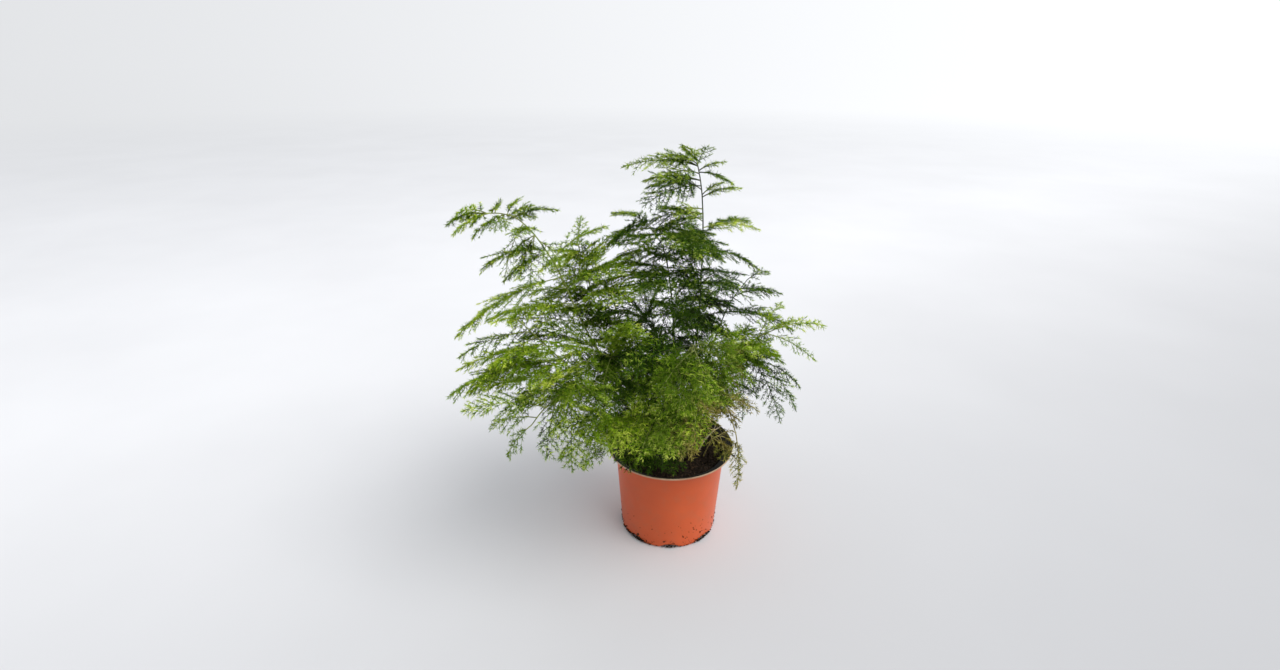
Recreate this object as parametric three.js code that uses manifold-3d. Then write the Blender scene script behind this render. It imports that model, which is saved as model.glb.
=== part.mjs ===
// Lace fern (Asparagus setaceus) in a 13 cm plastic nursery pot.
// Millimetres, +Z up. The origin is the centre of the pot's underside, and -Y is the plant's front.
import * as THREE from "three";
import { mergeVertices } from "three/addons/utils/BufferGeometryUtils.js";
import Module from "manifold-3d";

const wasm = await Module();
wasm.setup();

// Pot
const POT_RIM_RADIUS = 65;
const POT_BASE_RADIUS = 50;
const POT_HEIGHT = 97;
const POT_WALL = 1.2;
const WALL_TOP_Z = 90; // where the straight wall turns out into the lip
const WALL_TOP_RADIUS = 56.2;
const LIP_BAND = 2.5; // upright edge of the lip
const POT_SIDES = 36;
const DRAIN_COUNT = 8;
const DRAIN_WIDTH = 22;
const DRAIN_RISE = 4;
const DRAIN_LENGTH = 14;

// Soil
const SOIL_EDGE_Z = 86;
const SOIL_CROWN = 3; // rise from the edge to the middle
const SOIL_LUMP = 1.1;
const SOIL_RINGS = 3;
const SOIL_SIDES = 18; // half the pot's, so that their corners line up
const GAP = 0.3; // clearance between pieces that touch

// Stems
const FOOT_Z = 70; // how deep the stems stand in the soil
const FOOT_RADIUS = 1.3;
const TIP_RADIUS = 0.55;
const STEM_SIDES = 4;
const STEPS_PER_POINT = 2; // straight pieces of tube for each point of a route

// Sprays: flat plumes, each a slender three-sided rib with pairs of branchlets that taper to a point
const RIB_HALF_WIDTH = 0.8;
const RIB_HEIGHT = 1.3;
const FOOT_SLIM = 0.5; // how thick the rib is where it leaves the stem, as a share of its full size
const PETIOLE_SHARE = 0.12; // bare start of the rib
const PAIR_PITCH = 20; // rib length for each pair of branchlets
const TOOTH_SHARE = 0.34; // share of the pitch that a branchlet's foot takes up
const WIDTH_SHARE = 0.44; // longest branchlet, as a share of the spray's length
const FORWARD_ANGLE = 50; // between a branchlet and the rib
const BRANCHLET_SAG = 0.12;
const RIB_STEPS = 60; // fine steps along a rib, from which its corners are picked
const SHARED_START = 4; // sprays of one stem that start this near each other may touch
const ROLL_SPREAD = 44; // range of chance in how the sprays are rolled
const OUTER_DROOP = 24; // how far the outer edge of a spray hangs
const BOW = 20; // how far each end of the rib is tilted from the line between its ends

// What a spray may do to stay clear of the rest, mildest first
const SWINGS = [0, 7, -7, 14, -14, 24, -24, 36, -36, 50, -50];
const TIPPINGS = [0, 8, -8, 16, -16];
const SHRINKS = [1, 0.86, 0.72, 0.58];

// The stems. A route is the centre line above the soil. The tips are where single sprays end, each after the
// share of the stem at which it starts, and may be followed by its own width share. Further sprays fan out to
// either side of a heading, from a share of the stem onwards, with a longest length.
const STEMS = [
  { name: "stem_tall_centre", tint: "dark", seed: 3,
    route: [[12, 6, 88], [24, 12, 200], [26, 13, 300], [23, 10, 352], [17, 6, 382]],
    tips: [[1, 6, -10, 396, 0.7], [0.98, -9, -12, 389, 0.6], [0.97, -49, -2, 377, 0.34],
      [0.98, 28, 24, 393, 0.6], [0.94, 42, 8, 381, 0.5], [0.92, -22, -26, 372],
      [0.88, -31, 12, 363, 0.5], [0.85, -30, -24, 348, 0.5], [0.79, 60, 20, 356, 0.4],
      [0.69, -14, 42, 332, 0.5], [0.67, 80, 22, 317, 0.34], [0.63, -57, -26, 314], [0.62, 12, -62, 316],
      [0.6, 84, 34, 274, 0.3], [0.55, -34, -62, 282], [0.56, 40, -66, 284], [0.52, 10, -42, 252],
      [0.5, 105, 48, 243, 0.3], [0.46, 102, 24, 226, 0.34], [0.44, 50, -36, 232]],
    fill: 3, from: 0.38, longest: 78, heading: -60, fan: [20, 110] },
  { name: "stem_tall_back", tint: "dark", seed: 8,
    route: [[2, 16, 88], [3, 32, 200], [-6, 42, 280], [-20, 34, 312], [-34, 24, 324]],
    tips: [[1, -68, 14, 296], [0.92, -24, -26, 314], [0.85, -66, 50, 294], [0.8, 24, 66, 308],
      [0.74, -54, -12, 282], [0.66, -64, 70, 268], [0.6, -36, -12, 248], [0.62, 46, 84, 270],
      [0.56, -44, -30, 256], [0.52, 66, 62, 246]],
    fill: 4, from: 0.36, longest: 80, heading: 100, fan: [10, 120] },
  { name: "stem_centre_dark", tint: "dark", seed: 101,
    route: [[2, 2, 88], [-4, -8, 160], [-14, -20, 220], [-32, -34, 252]],
    tips: [[1, -74, -52, 258], [0.93, -46, -76, 246], [0.86, -16, -74, 240], [0.8, -68, -10, 268],
      [0.74, 14, -44, 250], [0.7, 4, -48, 224], [0.68, -60, -46, 214], [0.62, -20, -66, 206],
      [0.56, 22, -50, 210]],
    fill: 3, from: 0.36, longest: 62, heading: 280, fan: [30, 140] },
  { name: "stem_long_left", tint: "fresh", seed: 5,
    route: [[-12, -5, 88], [-50, -22, 174], [-83, -30, 239], [-108, -25, 297], [-140, -15, 335],
      [-176, -6, 338]],
    tips: [[1, -208, 2, 324], [0.95, -196, -26, 322], [0.93, -165, 20, 338], [0.87, -134, 20, 336],
      [0.85, -106, 0, 339], [0.9, -150, -20, 326, 0.5], [0.86, -128, 6, 330, 0.5],
      [0.89, -184, -6, 314, 0.4], [0.81, -150, -40, 286], [0.76, -156, -46, 286, 0.5],
      [0.71, -184, -36, 283, 0.5], [0.74, -112, -52, 302], [0.68, -62, 4, 324, 0.34],
      [0.63, -194, -58, 238, 0.4], [0.6, -60, -34, 292], [0.55, -164, -66, 258], [0.47, -70, 36, 262],
      [0.44, -140, -40, 232]],
    fill: 2, from: 0.36, longest: 70, heading: 230, fan: [10, 60] },
  { name: "stem_left_inner", tint: "fresh", seed: 12,
    route: [[-4, 4, 88], [-52, 10, 175], [-76, 16, 245], [-92, 22, 304]],
    tips: [[1, -90, 44, 324], [0.96, -126, -10, 284], [0.92, -68, -24, 302], [0.88, -62, 40, 306],
      [0.84, -108, -22, 282], [0.8, -122, 6, 256], [0.78, -36, -66, 276], [0.7, -80, -42, 246],
      [0.66, -44, -26, 236], [0.6, -106, 34, 218], [0.54, -60, -40, 208]],
    fill: 2, from: 0.42, longest: 70, heading: 120, fan: [20, 100] },
  { name: "stem_left_low", tint: "fresh", seed: 17,
    route: [[-14, -12, 88], [-62, -44, 165], [-100, -60, 218], [-136, -62, 258]],
    tips: [[1, -166, -64, 264], [0.93, -182, -92, 236], [0.85, -152, -112, 236],
      [0.82, -190, -76, 216, 0.36], [0.76, -192, -102, 204], [0.7, -106, -116, 222],
      [0.64, -168, -62, 192], [0.56, -66, -96, 206]],
    fill: 3, from: 0.42, longest: 66, heading: 170, fan: [10, 70] },
  { name: "stem_left_front", tint: "fresh", seed: 96,
    route: [[-7, -10, 88], [-30, -36, 170], [-54, -60, 220], [-84, -76, 240]],
    tips: [[1, -128, -94, 242], [0.94, -122, -114, 220], [0.88, -92, -120, 206], [0.84, -126, -58, 252],
      [0.78, -64, -112, 208], [0.74, -52, -108, 192], [0.72, -98, -44, 256], [0.66, -52, -92, 262],
      [0.6, -94, -84, 200], [0.7, -26, -84, 260]],
    fill: 2, from: 0.4, longest: 56, heading: 215, fan: [20, 110] },
  { name: "stem_left_droop", tint: "mid", seed: 21,
    route: [[-11, -20, 88], [-46, -58, 176], [-80, -88, 214], [-108, -106, 200], [-122, -112, 184]],
    tips: [[1, -142, -120, 158], [0.92, -158, -104, 178], [0.82, -176, -118, 200],
      [0.74, -108, -130, 162], [0.66, -88, -126, 148], [0.6, -148, -84, 196], [0.54, -62, -128, 196]],
    fill: 3, from: 0.4, longest: 62, heading: 200, fan: [20, 100] },
  { name: "stem_front_left", tint: "fresh", seed: 26,
    route: [[-4, -20, 88], [-28, -58, 160], [-48, -90, 178], [-60, -104, 166]],
    tips: [[1, -78, -124, 148], [0.94, -100, -114, 152], [0.88, -58, -130, 174], [0.8, -98, -92, 168],
      [0.74, -38, -128, 168], [0.68, -86, -124, 182], [0.6, -36, -112, 196], [0.54, -74, -66, 150]],
    fill: 2, from: 0.42, longest: 50, heading: 240, fan: [20, 100] },
  { name: "stem_front_centre", tint: "mid", seed: 31,
    route: [[0, -18, 88], [-8, -56, 150], [-18, -88, 176], [-24, -106, 174]],
    tips: [[1, -32, -134, 166], [0.94, -58, -126, 162], [0.88, -4, -134, 168], [0.8, 16, -120, 164],
      [0.74, -62, -104, 180], [0.66, -22, -118, 160], [0.58, -48, -80, 148], [0.54, 8, -98, 150]],
    fill: 2, from: 0.4, longest: 50, heading: 270, fan: [20, 110] },
  { name: "stem_front_high", tint: "mid", seed: 36,
    route: [[6, -8, 88], [10, -32, 180], [12, -64, 236], [14, -92, 242]],
    tips: [[1, 22, -136, 220], [0.95, -18, -132, 224], [0.9, 50, -120, 218], [0.86, -46, -110, 230],
      [0.88, -2, -134, 206], [0.82, 4, -124, 202], [0.79, -16, -118, 194], [0.76, 66, -88, 236],
      [0.7, -54, -76, 240], [0.66, 40, -104, 200], [0.62, -34, -94, 206], [0.56, 60, -58, 216]],
    fill: 2, from: 0.44, longest: 60, heading: 270, fan: [30, 110] },
  { name: "stem_front_mid", tint: "mid", seed: 91,
    route: [[12, -24, 88], [14, -52, 160], [12, -82, 200], [12, -104, 204]],
    tips: [[1, 14, -138, 180], [0.94, -18, -132, 184], [0.96, 12, -120, 156, 0.3],
      [0.92, 0, -120, 158, 0.34], [0.9, 30, -124, 198], [0.87, -6, -132, 166], [0.84, -40, -112, 198],
      [0.78, 60, -94, 194], [0.7, 0, -122, 172], [0.64, 26, -104, 196], [0.58, -34, -84, 188]],
    fill: 2, from: 0.42, longest: 50, heading: 280, fan: [30, 110] },
  { name: "stem_front_right", tint: "olive", seed: 42,
    route: [[14, -12, 88], [30, -42, 162], [44, -66, 182], [54, -80, 158]],
    tips: [[1, 57, -88, 104, 0.24], [0.84, 52, -96, 174], [0.66, 56, -70, 188], [0.6, 42, -98, 190],
      [0.56, 20, -98, 190]],
    fill: 3, from: 0.42, longest: 52, heading: 290, fan: [20, 100] },
  { name: "stem_right_bright", tint: "fresh", seed: 47,
    route: [[16, -3, 88], [42, -16, 172], [68, -22, 218], [96, -22, 236]],
    tips: [[1, 141, -18, 236, 0.3], [0.9, 128, -44, 212, 0.24], [0.84, 104, 8, 250, 0.34],
      [0.76, 94, -62, 218], [0.68, 44, -66, 226], [0.62, 78, -50, 212], [0.56, 92, 18, 200]],
    fill: 3, from: 0.44, longest: 56, heading: 350, fan: [20, 110] },
  { name: "stem_right_dark", tint: "dark", seed: 52,
    route: [[18, 6, 88], [48, 22, 152], [76, 24, 184], [98, 18, 180]],
    tips: [[1, 132, 10, 156, 0.3], [0.92, 128, -8, 142, 0.26], [0.82, 112, -26, 138, 0.3],
      [0.72, 94, -40, 150, 0.3], [0.8, 116, 50, 172], [0.62, 84, 70, 176], [0.54, 86, -12, 158]],
    fill: 2, from: 0.42, longest: 52, heading: 20, fan: [20, 100] },
  { name: "stem_right_back", tint: "dark", seed: 57,
    route: [[12, 16, 88], [40, 46, 170], [60, 60, 225], [80, 70, 252]],
    tips: [[1, 106, 86, 256], [0.9, 116, 58, 240], [0.82, 58, 112, 252], [0.74, 128, 48, 204],
      [0.7, 24, 60, 250], [0.6, 106, 40, 196], [0.56, 44, 104, 200]],
    fill: 3, from: 0.42, longest: 62, heading: 60, fan: [20, 110] },
  { name: "stem_back_left", tint: "mid", seed: 61,
    route: [[-10, 14, 88], [-44, 58, 175], [-66, 84, 235], [-94, 100, 268]],
    tips: [[1, -128, 112, 270]],
    fill: 7, from: 0.38, longest: 80, heading: 130, fan: [20, 120] },
  { name: "stem_back", tint: "mid", seed: 66,
    route: [[0, 22, 88], [4, 66, 172], [8, 96, 222], [16, 122, 232]],
    tips: [[1, 24, 156, 214]],
    fill: 7, from: 0.38, longest: 76, heading: 90, fan: [20, 125] },
  { name: "shoot_left", tint: "mid", seed: 71,
    route: [[-26, -16, 88], [-38, -28, 116], [-50, -40, 126]],
    tips: [[1, -76, -62, 118], [0.85, -40, -76, 112], [0.7, -72, -24, 128]],
    fill: 1, from: 0.5, longest: 34, heading: 225, fan: [20, 100] },
  { name: "shoot_front", tint: "dark", seed: 76,
    route: [[-8, -32, 88], [-10, -44, 110], [-10, -54, 116]],
    tips: [[1, -10, -64, 106], [0.85, -34, -58, 110], [0.7, 12, -60, 106]],
    fill: 1, from: 0.5, longest: 32, heading: 270, fan: [20, 100] },
  { name: "shoot_right", tint: "olive", seed: 81,
    route: [[34, -14, 88], [42, -18, 112], [50, -22, 118]],
    tips: [[1, 66, -22, 106], [0.85, 66, 0, 110], [0.7, 62, -36, 102]],
    fill: 0, from: 0.5, longest: 30, heading: 320, fan: [20, 100] },
];

// A dead stem left standing in the soil, with one side twig
const DRY_STEM = [[31, -1, 88], [37, 4, 97], [45, 10, 103], [54, 16, 106]];
const DRY_TWIG = [[45, 10, 103], [50, 20, 112]];
const DRY_RADIUS = 0.9;
const DRY_TWIG_RADII = [0.6, 0.4];

const TINTS = { dark: 0x2f5a1e, mid: 0x3f7420, fresh: 0x5b8f22, olive: 0x76803a };
const PLASTIC = new THREE.MeshStandardMaterial({ color: 0xc9613c, roughness: 0.45, metalness: 0 });
const PEAT = new THREE.MeshStandardMaterial({ color: 0x1d1712, roughness: 0.95, metalness: 0 });
const STRAW = new THREE.MeshStandardMaterial({ color: 0xa99a80, roughness: 0.8, metalness: 0 });

const radians = THREE.MathUtils.degToRad;
const vector = (p) => new THREE.Vector3(...p);

// A Park-Miller generator: the same seed gives the same plant.
function randomFrom(seed) {
  let state = (seed * 7919) % 2147483647;
  return () => (state = (state * 16807) % 2147483647) / 2147483647;
}

// A closed mesh as a solid.
function solidOf(geometry) {
  const bare = geometry.index ? geometry.toNonIndexed() : geometry.clone();
  for (const extra of ["normal", "uv"]) bare.deleteAttribute(extra);
  const merged = mergeVertices(bare, 1e-4);
  const mesh = new wasm.Mesh({
    numProp: 3,
    vertProperties: merged.attributes.position.array,
    triVerts: new Uint32Array(merged.index.array),
  });
  return new wasm.Manifold(mesh);
}

// A solid as a flat-shaded geometry.
function geometryOf(solid) {
  const { vertProperties, triVerts, numProp } = solid.getMesh();
  const position = new Float32Array(triVerts.length * 3);
  triVerts.forEach((v, i) => position.set(vertProperties.subarray(v * numProp, v * numProp + 3), i * 3));
  const geometry = new THREE.BufferGeometry();
  geometry.setAttribute("position", new THREE.BufferAttribute(position, 3));
  geometry.computeVertexNormals();
  return geometry;
}

// A geometry from corner points and faces of three or four corners, counter-clockwise from outside.
function geometryFrom(corners, faces) {
  const triangles = faces.flatMap((f) => (f.length === 4 ? [f[0], f[1], f[2], f[0], f[2], f[3]] : f));
  const geometry = new THREE.BufferGeometry();
  geometry.setAttribute("position", new THREE.Float32BufferAttribute(corners.flatMap((c) => c.toArray()), 3));
  geometry.setIndex(triangles);
  return geometry;
}

// A tube of few sides along points, with a radius at each.
function taperedTube(points, radii, sides) {
  const corners = [];
  const faces = [];
  points.forEach((p, i) => {
    const ahead = points[Math.min(i + 1, points.length - 1)];
    const behind = points[Math.max(i - 1, 0)];
    const along = ahead.clone().sub(behind).normalize();
    const across = new THREE.Vector3(0, 1, 0).cross(along).normalize();
    const up = along.clone().cross(across);
    for (let k = 0; k < sides; k++) {
      const turn = (2 * Math.PI * k) / sides;
      corners.push(
        p.clone()
          .addScaledVector(across, radii[i] * Math.cos(turn))
          .addScaledVector(up, radii[i] * Math.sin(turn)),
      );
    }
    if (!i) return;
    for (let k = 0; k < sides; k++) {
      const next = (k + 1) % sides;
      const [low, high] = [(i - 1) * sides, i * sides];
      faces.push([low + k, low + next, high + next, high + k]);
    }
  });
  const last = (points.length - 1) * sides;
  for (let k = 1; k < sides - 1; k++) {
    faces.push([0, k + 1, k]);
    faces.push([last, last + k, last + k + 1]);
  }
  return geometryFrom(corners, faces);
}

// The stem's centre line: straight down into the soil, then along its route.
function stemLine(route) {
  const [x, y] = route[0];
  const points = [vector([x, y, FOOT_Z]), ...route.map(vector)];
  return new THREE.CatmullRomCurve3(points, false, "catmullrom").getPoints(STEPS_PER_POINT * route.length);
}

// The point at a share of a line of points.
function pointAlong(line, share) {
  const place = share * (line.length - 1);
  const i = Math.min(Math.floor(place), line.length - 2);
  return line[i].clone().lerp(line[i + 1], place - i);
}

function stemTube(route, extra = 0, foot = FOOT_RADIUS, tip = TIP_RADIUS) {
  const line = stemLine(route);
  line[0].z -= extra;
  const radii = line.map((_, i) => THREE.MathUtils.lerp(foot, tip, i / (line.length - 1)) + extra);
  return solidOf(taperedTube(line, radii, STEM_SIDES));
}

// A spray that arches from its start to a tip.
function planToTip(start, [, x, y, z, widthShare = WIDTH_SHARE]) {
  const chord = vector([x, y, z]).sub(start);
  const slope = THREE.MathUtils.radToDeg(Math.atan2(chord.z, Math.hypot(chord.x, chord.y)));
  const length = (chord.length() * radians(BOW)) / Math.sin(radians(BOW));
  return {
    start,
    azimuth: THREE.MathUtils.radToDeg(Math.atan2(chord.y, chord.x)),
    lift: slope + BOW,
    fall: BOW - slope,
    length,
    width: length * widthShare,
  };
}

// A spray of the fan at a share of the way from the first to the last.
function planInFan(stem, line, share, side, random) {
  const length = stem.longest * (1 - 0.35 * share) * (0.85 + 0.3 * random());
  return {
    start: pointAlong(line, THREE.MathUtils.lerp(stem.from, 0.92, share)),
    azimuth: stem.heading + side * THREE.MathUtils.lerp(stem.fan[0], stem.fan[1], random()),
    lift: 18 + 16 * random(),
    fall: 14 + 26 * random(),
    length,
    width: length * WIDTH_SHARE,
  };
}

// How a spray is rolled about its rib, so that the edge away from the plant's middle hangs lower.
function rollOf({ start, azimuth, length }, chance) {
  const heading = radians(azimuth);
  const ahead = new THREE.Vector3(Math.cos(heading), Math.sin(heading), 0);
  const outward = start.clone().addScaledVector(ahead, length / 2).setZ(0).normalize();
  const leftIsOut = outward.y * ahead.x - outward.x * ahead.y;
  return ROLL_SPREAD * (chance - 0.5) - OUTER_DROOP * leftIsOut;
}

// Every spray of a stem, before any is turned clear of the rest.
function sprayPlans(stem) {
  const line = stemLine(stem.route);
  const plans = stem.tips.map((tip) => planToTip(pointAlong(line, tip[0]), tip));
  for (let i = 0; i < stem.fill; i++) {
    const random = randomFrom(stem.seed * 100 + i);
    plans.push(planInFan(stem, line, (i + 0.5) / stem.fill, i % 2 ? 1 : -1, random));
  }
  return plans.map((plan, i) => {
    const seed = stem.seed * 1000 + i;
    return { ...plan, seed, roll: rollOf(plan, randomFrom(seed)()) };
  });
}

// A spray's rib: points, with the way ahead, the side and the upper face's normal at each.
function ribFrames(plan, steps) {
  const heading = radians(plan.azimuth);
  const ahead = new THREE.Vector3(Math.cos(heading), Math.sin(heading), 0);
  const flatSide = new THREE.Vector3(-Math.sin(heading), Math.cos(heading), 0);
  const frames = [];
  const point = plan.start.clone();
  for (let i = 0; i <= steps; i++) {
    const share = i / steps;
    const pitch = radians(THREE.MathUtils.lerp(plan.lift, -plan.fall, share));
    const along = ahead.clone().multiplyScalar(Math.cos(pitch)).setZ(Math.sin(pitch));
    const side = flatSide.clone().applyAxisAngle(along, radians(plan.roll));
    frames.push({ point: point.clone(), along, side, normal: along.clone().cross(side) });
    point.addScaledVector(along, plan.length / steps);
  }
  return frames;
}

// How long the branchlets are along the spray: short at the start, longest soon after, then less and less.
function branchletShare(share) {
  return share < 0.2 ? 0.66 + 1.7 * share : 1 - 0.92 * (share - 0.2);
}

// A corner ring of the three-sided rib: its top, left and right.
function ribCorners({ point, side, normal }, slim, extra) {
  const half = RIB_HALF_WIDTH * slim + extra;
  const below = -0.4 * RIB_HEIGHT * slim - extra;
  return [
    point.clone().addScaledVector(normal, 0.6 * RIB_HEIGHT * slim + extra),
    point.clone().addScaledVector(side, half).addScaledVector(normal, below),
    point.clone().addScaledVector(side, -half).addScaledVector(normal, below),
  ];
}

// The tip of a branchlet that leaves the rib at a frame, to the left (1) or the right (-1).
function branchletTip({ point, along, side, normal }, hand, reach, random) {
  const lean = radians(FORWARD_ANGLE + 16 * (random() - 0.5));
  return point.clone()
    .addScaledVector(side, hand * reach * Math.sin(lean))
    .addScaledVector(along, reach * Math.cos(lean))
    .addScaledVector(normal, -reach * BRANCHLET_SAG);
}

// One spray: a three-sided rib, bare at its start, then spaced pairs of branchlets, and a point.
function spraySolid(plan, extra = 0) {
  const random = randomFrom(plan.seed);
  const leafy = 1 - PETIOLE_SHARE;
  const pairs = Math.max(2, Math.round((plan.length * leafy) / PAIR_PITCH));
  const fine = ribFrames(plan, RIB_STEPS);
  const at = (place) => fine[Math.round(RIB_STEPS * (PETIOLE_SHARE + (leafy * place) / (pairs + 0.5)))];
  const corners = ribCorners(fine[0], FOOT_SLIM, extra);
  const faces = [[0, 1, 2]];
  let ring = 0;
  const addRing = (place, bare) => {
    corners.push(...ribCorners(at(place), 1 - (0.5 * place) / pairs, extra));
    const next = corners.length - 3;
    const [top, left, right] = [ring, ring + 1, ring + 2];
    faces.push([left, next + 1, next + 2, right]);
    if (bare) faces.push([top, next, next + 1, left], [right, next + 2, next, top]);
    ring = next;
    return [top, left, right, next, next + 1, next + 2];
  };
  for (let i = 0; i < pairs; i++) {
    addRing(i, true);
    const [top, left, right, nextTop, nextLeft, nextRight] = addRing(i + TOOTH_SHARE, false);
    const foot = at(i + TOOTH_SHARE / 2);
    for (const hand of [1, -1]) {
      const reach = plan.width * branchletShare(i / pairs) * (0.82 + 0.36 * random()) + extra;
      const tip = corners.push(branchletTip(foot, hand, reach, random)) - 1;
      const [edge, nextEdge] = hand > 0 ? [left, nextLeft] : [right, nextRight];
      const made = [[top, tip, edge], [top, nextTop, tip], [nextTop, nextEdge, tip], [edge, tip, nextEdge]];
      faces.push(...made.map((face) => (hand > 0 ? face : face.toReversed())));
    }
  }
  const end = fine[RIB_STEPS];
  const tip = corners.push(end.point.clone().addScaledVector(end.along, extra)) - 1;
  faces.push([ring, tip, ring + 1], [ring + 2, tip, ring], [ring + 1, tip, ring + 2]);
  return solidOf(geometryFrom(corners, faces));
}

// The ways a spray may be turned, tipped or cut back, mildest first.
function* variants(plan) {
  for (const shrink of SHRINKS)
    for (const tipping of TIPPINGS)
      for (const swing of SWINGS)
        yield {
          ...plan,
          azimuth: plan.azimuth + swing,
          lift: plan.lift + tipping,
          length: plan.length * shrink,
          width: plan.width * shrink,
        };
}

function boxesMeet(a, b) {
  return [0, 1, 2].every((k) => a.min[k] < b.max[k] && b.min[k] < a.max[k]);
}

// The stems with their sprays. A spray takes the first variant that stays clear of all the rest.
function growStems(obstacles) {
  const placed = obstacles.map((solid) => ({ solid, box: solid.boundingBox() }));
  const pieces = new Map();
  for (const { name, route } of STEMS) {
    const tube = stemTube(route, GAP);
    placed.push({ owner: name, solid: tube, box: tube.boundingBox() });
    pieces.set(name, [stemTube(route)]);
  }
  const placeIfClear = (name, variant) => {
    const { start } = variant;
    const trial = spraySolid(variant, GAP);
    const box = trial.boundingBox();
    const meets = (other) => {
      if (!boxesMeet(other.box, box)) return false;
      if (other.owner === name && !other.start) return false;
      if (other.owner === name && other.start.distanceTo(start) < SHARED_START) return false;
      return !other.solid.intersect(trial).isEmpty();
    };
    if (placed.some(meets)) return false;
    placed.push({ owner: name, solid: trial, box, start });
    return true;
  };
  for (const stem of STEMS) {
    for (const plan of sprayPlans(stem)) {
      const found = variants(plan).find((variant) => placeIfClear(stem.name, variant));
      if (found) pieces.get(stem.name).push(spraySolid(found));
    }
  }
  return pieces;
}

// The pot: a turned shell with a flared lip and low arched notches round its foot, the first at the front.
function potSolid() {
  const rimInner = POT_RIM_RADIUS - POT_WALL;
  const profile = [
    [0, 0],
    [POT_BASE_RADIUS - 1.5, 0],
    [POT_BASE_RADIUS, 1.5],
    [WALL_TOP_RADIUS, WALL_TOP_Z],
    [POT_RIM_RADIUS, POT_HEIGHT - LIP_BAND],
    [POT_RIM_RADIUS, POT_HEIGHT],
    [rimInner, POT_HEIGHT],
    [rimInner, POT_HEIGHT - LIP_BAND + POT_WALL * 0.6],
    [WALL_TOP_RADIUS - POT_WALL, WALL_TOP_Z + POT_WALL * 0.8],
    [POT_BASE_RADIUS - POT_WALL, POT_WALL],
    [0, POT_WALL],
  ].map(([r, z]) => new THREE.Vector2(r, z));
  const lathe = new THREE.LatheGeometry(profile, POT_SIDES).rotateX(Math.PI / 2);
  let pot = solidOf(lathe);
  const arch = ((DRAIN_WIDTH / 2) ** 2 + DRAIN_RISE ** 2) / (2 * DRAIN_RISE);
  for (let i = 0; i < DRAIN_COUNT; i++) {
    const drain = new THREE.CylinderGeometry(arch, arch, DRAIN_LENGTH, 24)
      .rotateZ(Math.PI / 2)
      .translate(POT_BASE_RADIUS, 0, DRAIN_RISE - arch)
      .rotateZ((2 * Math.PI * i) / DRAIN_COUNT - Math.PI / 2);
    pot = pot.subtract(solidOf(drain));
  }
  return pot;
}

// The soil: its body follows the pot's wall, and its top is lumpy, a little higher in the middle.
function soilSolid() {
  const floorZ = POT_WALL + GAP;
  const wallRadius = (z) => THREE.MathUtils.lerp(POT_BASE_RADIUS, WALL_TOP_RADIUS, z / WALL_TOP_Z);
  const edge = wallRadius(SOIL_EDGE_Z) - POT_WALL - 2 * GAP;
  const lump = (x, y) => {
    return SOIL_LUMP * (Math.sin(0.31 * x + 1) * Math.cos(0.27 * y) + Math.sin(0.17 * x - 0.23 * y));
  };
  const corners = [];
  const faces = [];
  const addRing = (radius, height) => {
    for (let k = 0; k < SOIL_SIDES; k++) {
      const turn = (2 * Math.PI * k) / SOIL_SIDES;
      const [x, y] = [radius * Math.cos(turn), radius * Math.sin(turn)];
      corners.push(new THREE.Vector3(x, y, height(x, y)));
    }
  };
  addRing(wallRadius(floorZ) - POT_WALL - 2 * GAP, () => floorZ);
  addRing(edge, () => SOIL_EDGE_Z);
  for (let i = SOIL_RINGS - 1; i > 0; i--) {
    const share = i / SOIL_RINGS;
    addRing(edge * share, (x, y) => SOIL_EDGE_Z + SOIL_CROWN * (1 - share ** 2) + lump(x, y));
  }
  for (let i = 0; i < SOIL_RINGS; i++) {
    for (let k = 0; k < SOIL_SIDES; k++) {
      const next = (k + 1) % SOIL_SIDES;
      const [low, high] = [i * SOIL_SIDES, (i + 1) * SOIL_SIDES];
      faces.push([low + k, low + next, high + next, high + k]);
    }
  }
  const middle = corners.push(new THREE.Vector3(0, 0, SOIL_EDGE_Z + SOIL_CROWN)) - 1;
  const under = corners.push(new THREE.Vector3(0, 0, floorZ)) - 1;
  const topRing = SOIL_RINGS * SOIL_SIDES;
  for (let k = 0; k < SOIL_SIDES; k++) {
    const next = (k + 1) % SOIL_SIDES;
    faces.push([topRing + k, topRing + next, middle], [next, k, under]);
  }
  let soil = solidOf(geometryFrom(corners, faces));
  for (const { route } of STEMS) soil = soil.subtract(stemTube(route, GAP));
  return soil.subtract(stemTube(DRY_STEM, GAP, DRY_RADIUS));
}

function meshOf(name, solid, material) {
  const mesh = new THREE.Mesh(geometryOf(solid), material);
  mesh.name = name;
  return mesh;
}

const pot = potSolid();
const soil = soilSolid();
const dryTwig = solidOf(taperedTube(DRY_TWIG.map(vector), DRY_TWIG_RADII, STEM_SIDES));
const dryStem = stemTube(DRY_STEM, 0, DRY_RADIUS).add(dryTwig);
const plant = new THREE.Group();
plant.add(meshOf("pot", pot, PLASTIC), meshOf("soil", soil, PEAT), meshOf("dry_stem", dryStem, STRAW));
for (const [name, pieces] of growStems([pot, soil, dryStem])) {
  const { tint } = STEMS.find((stem) => stem.name === name);
  const green = new THREE.MeshStandardMaterial({ color: TINTS[tint], roughness: 0.7, metalness: 0 });
  plant.add(meshOf(name, wasm.Manifold.union(pieces), green));
}

export default plant;
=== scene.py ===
import math
from itertools import product

import bmesh
import bpy
import numpy as np
from mathutils import Matrix, Vector
from mathutils.kdtree import KDTree


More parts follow.
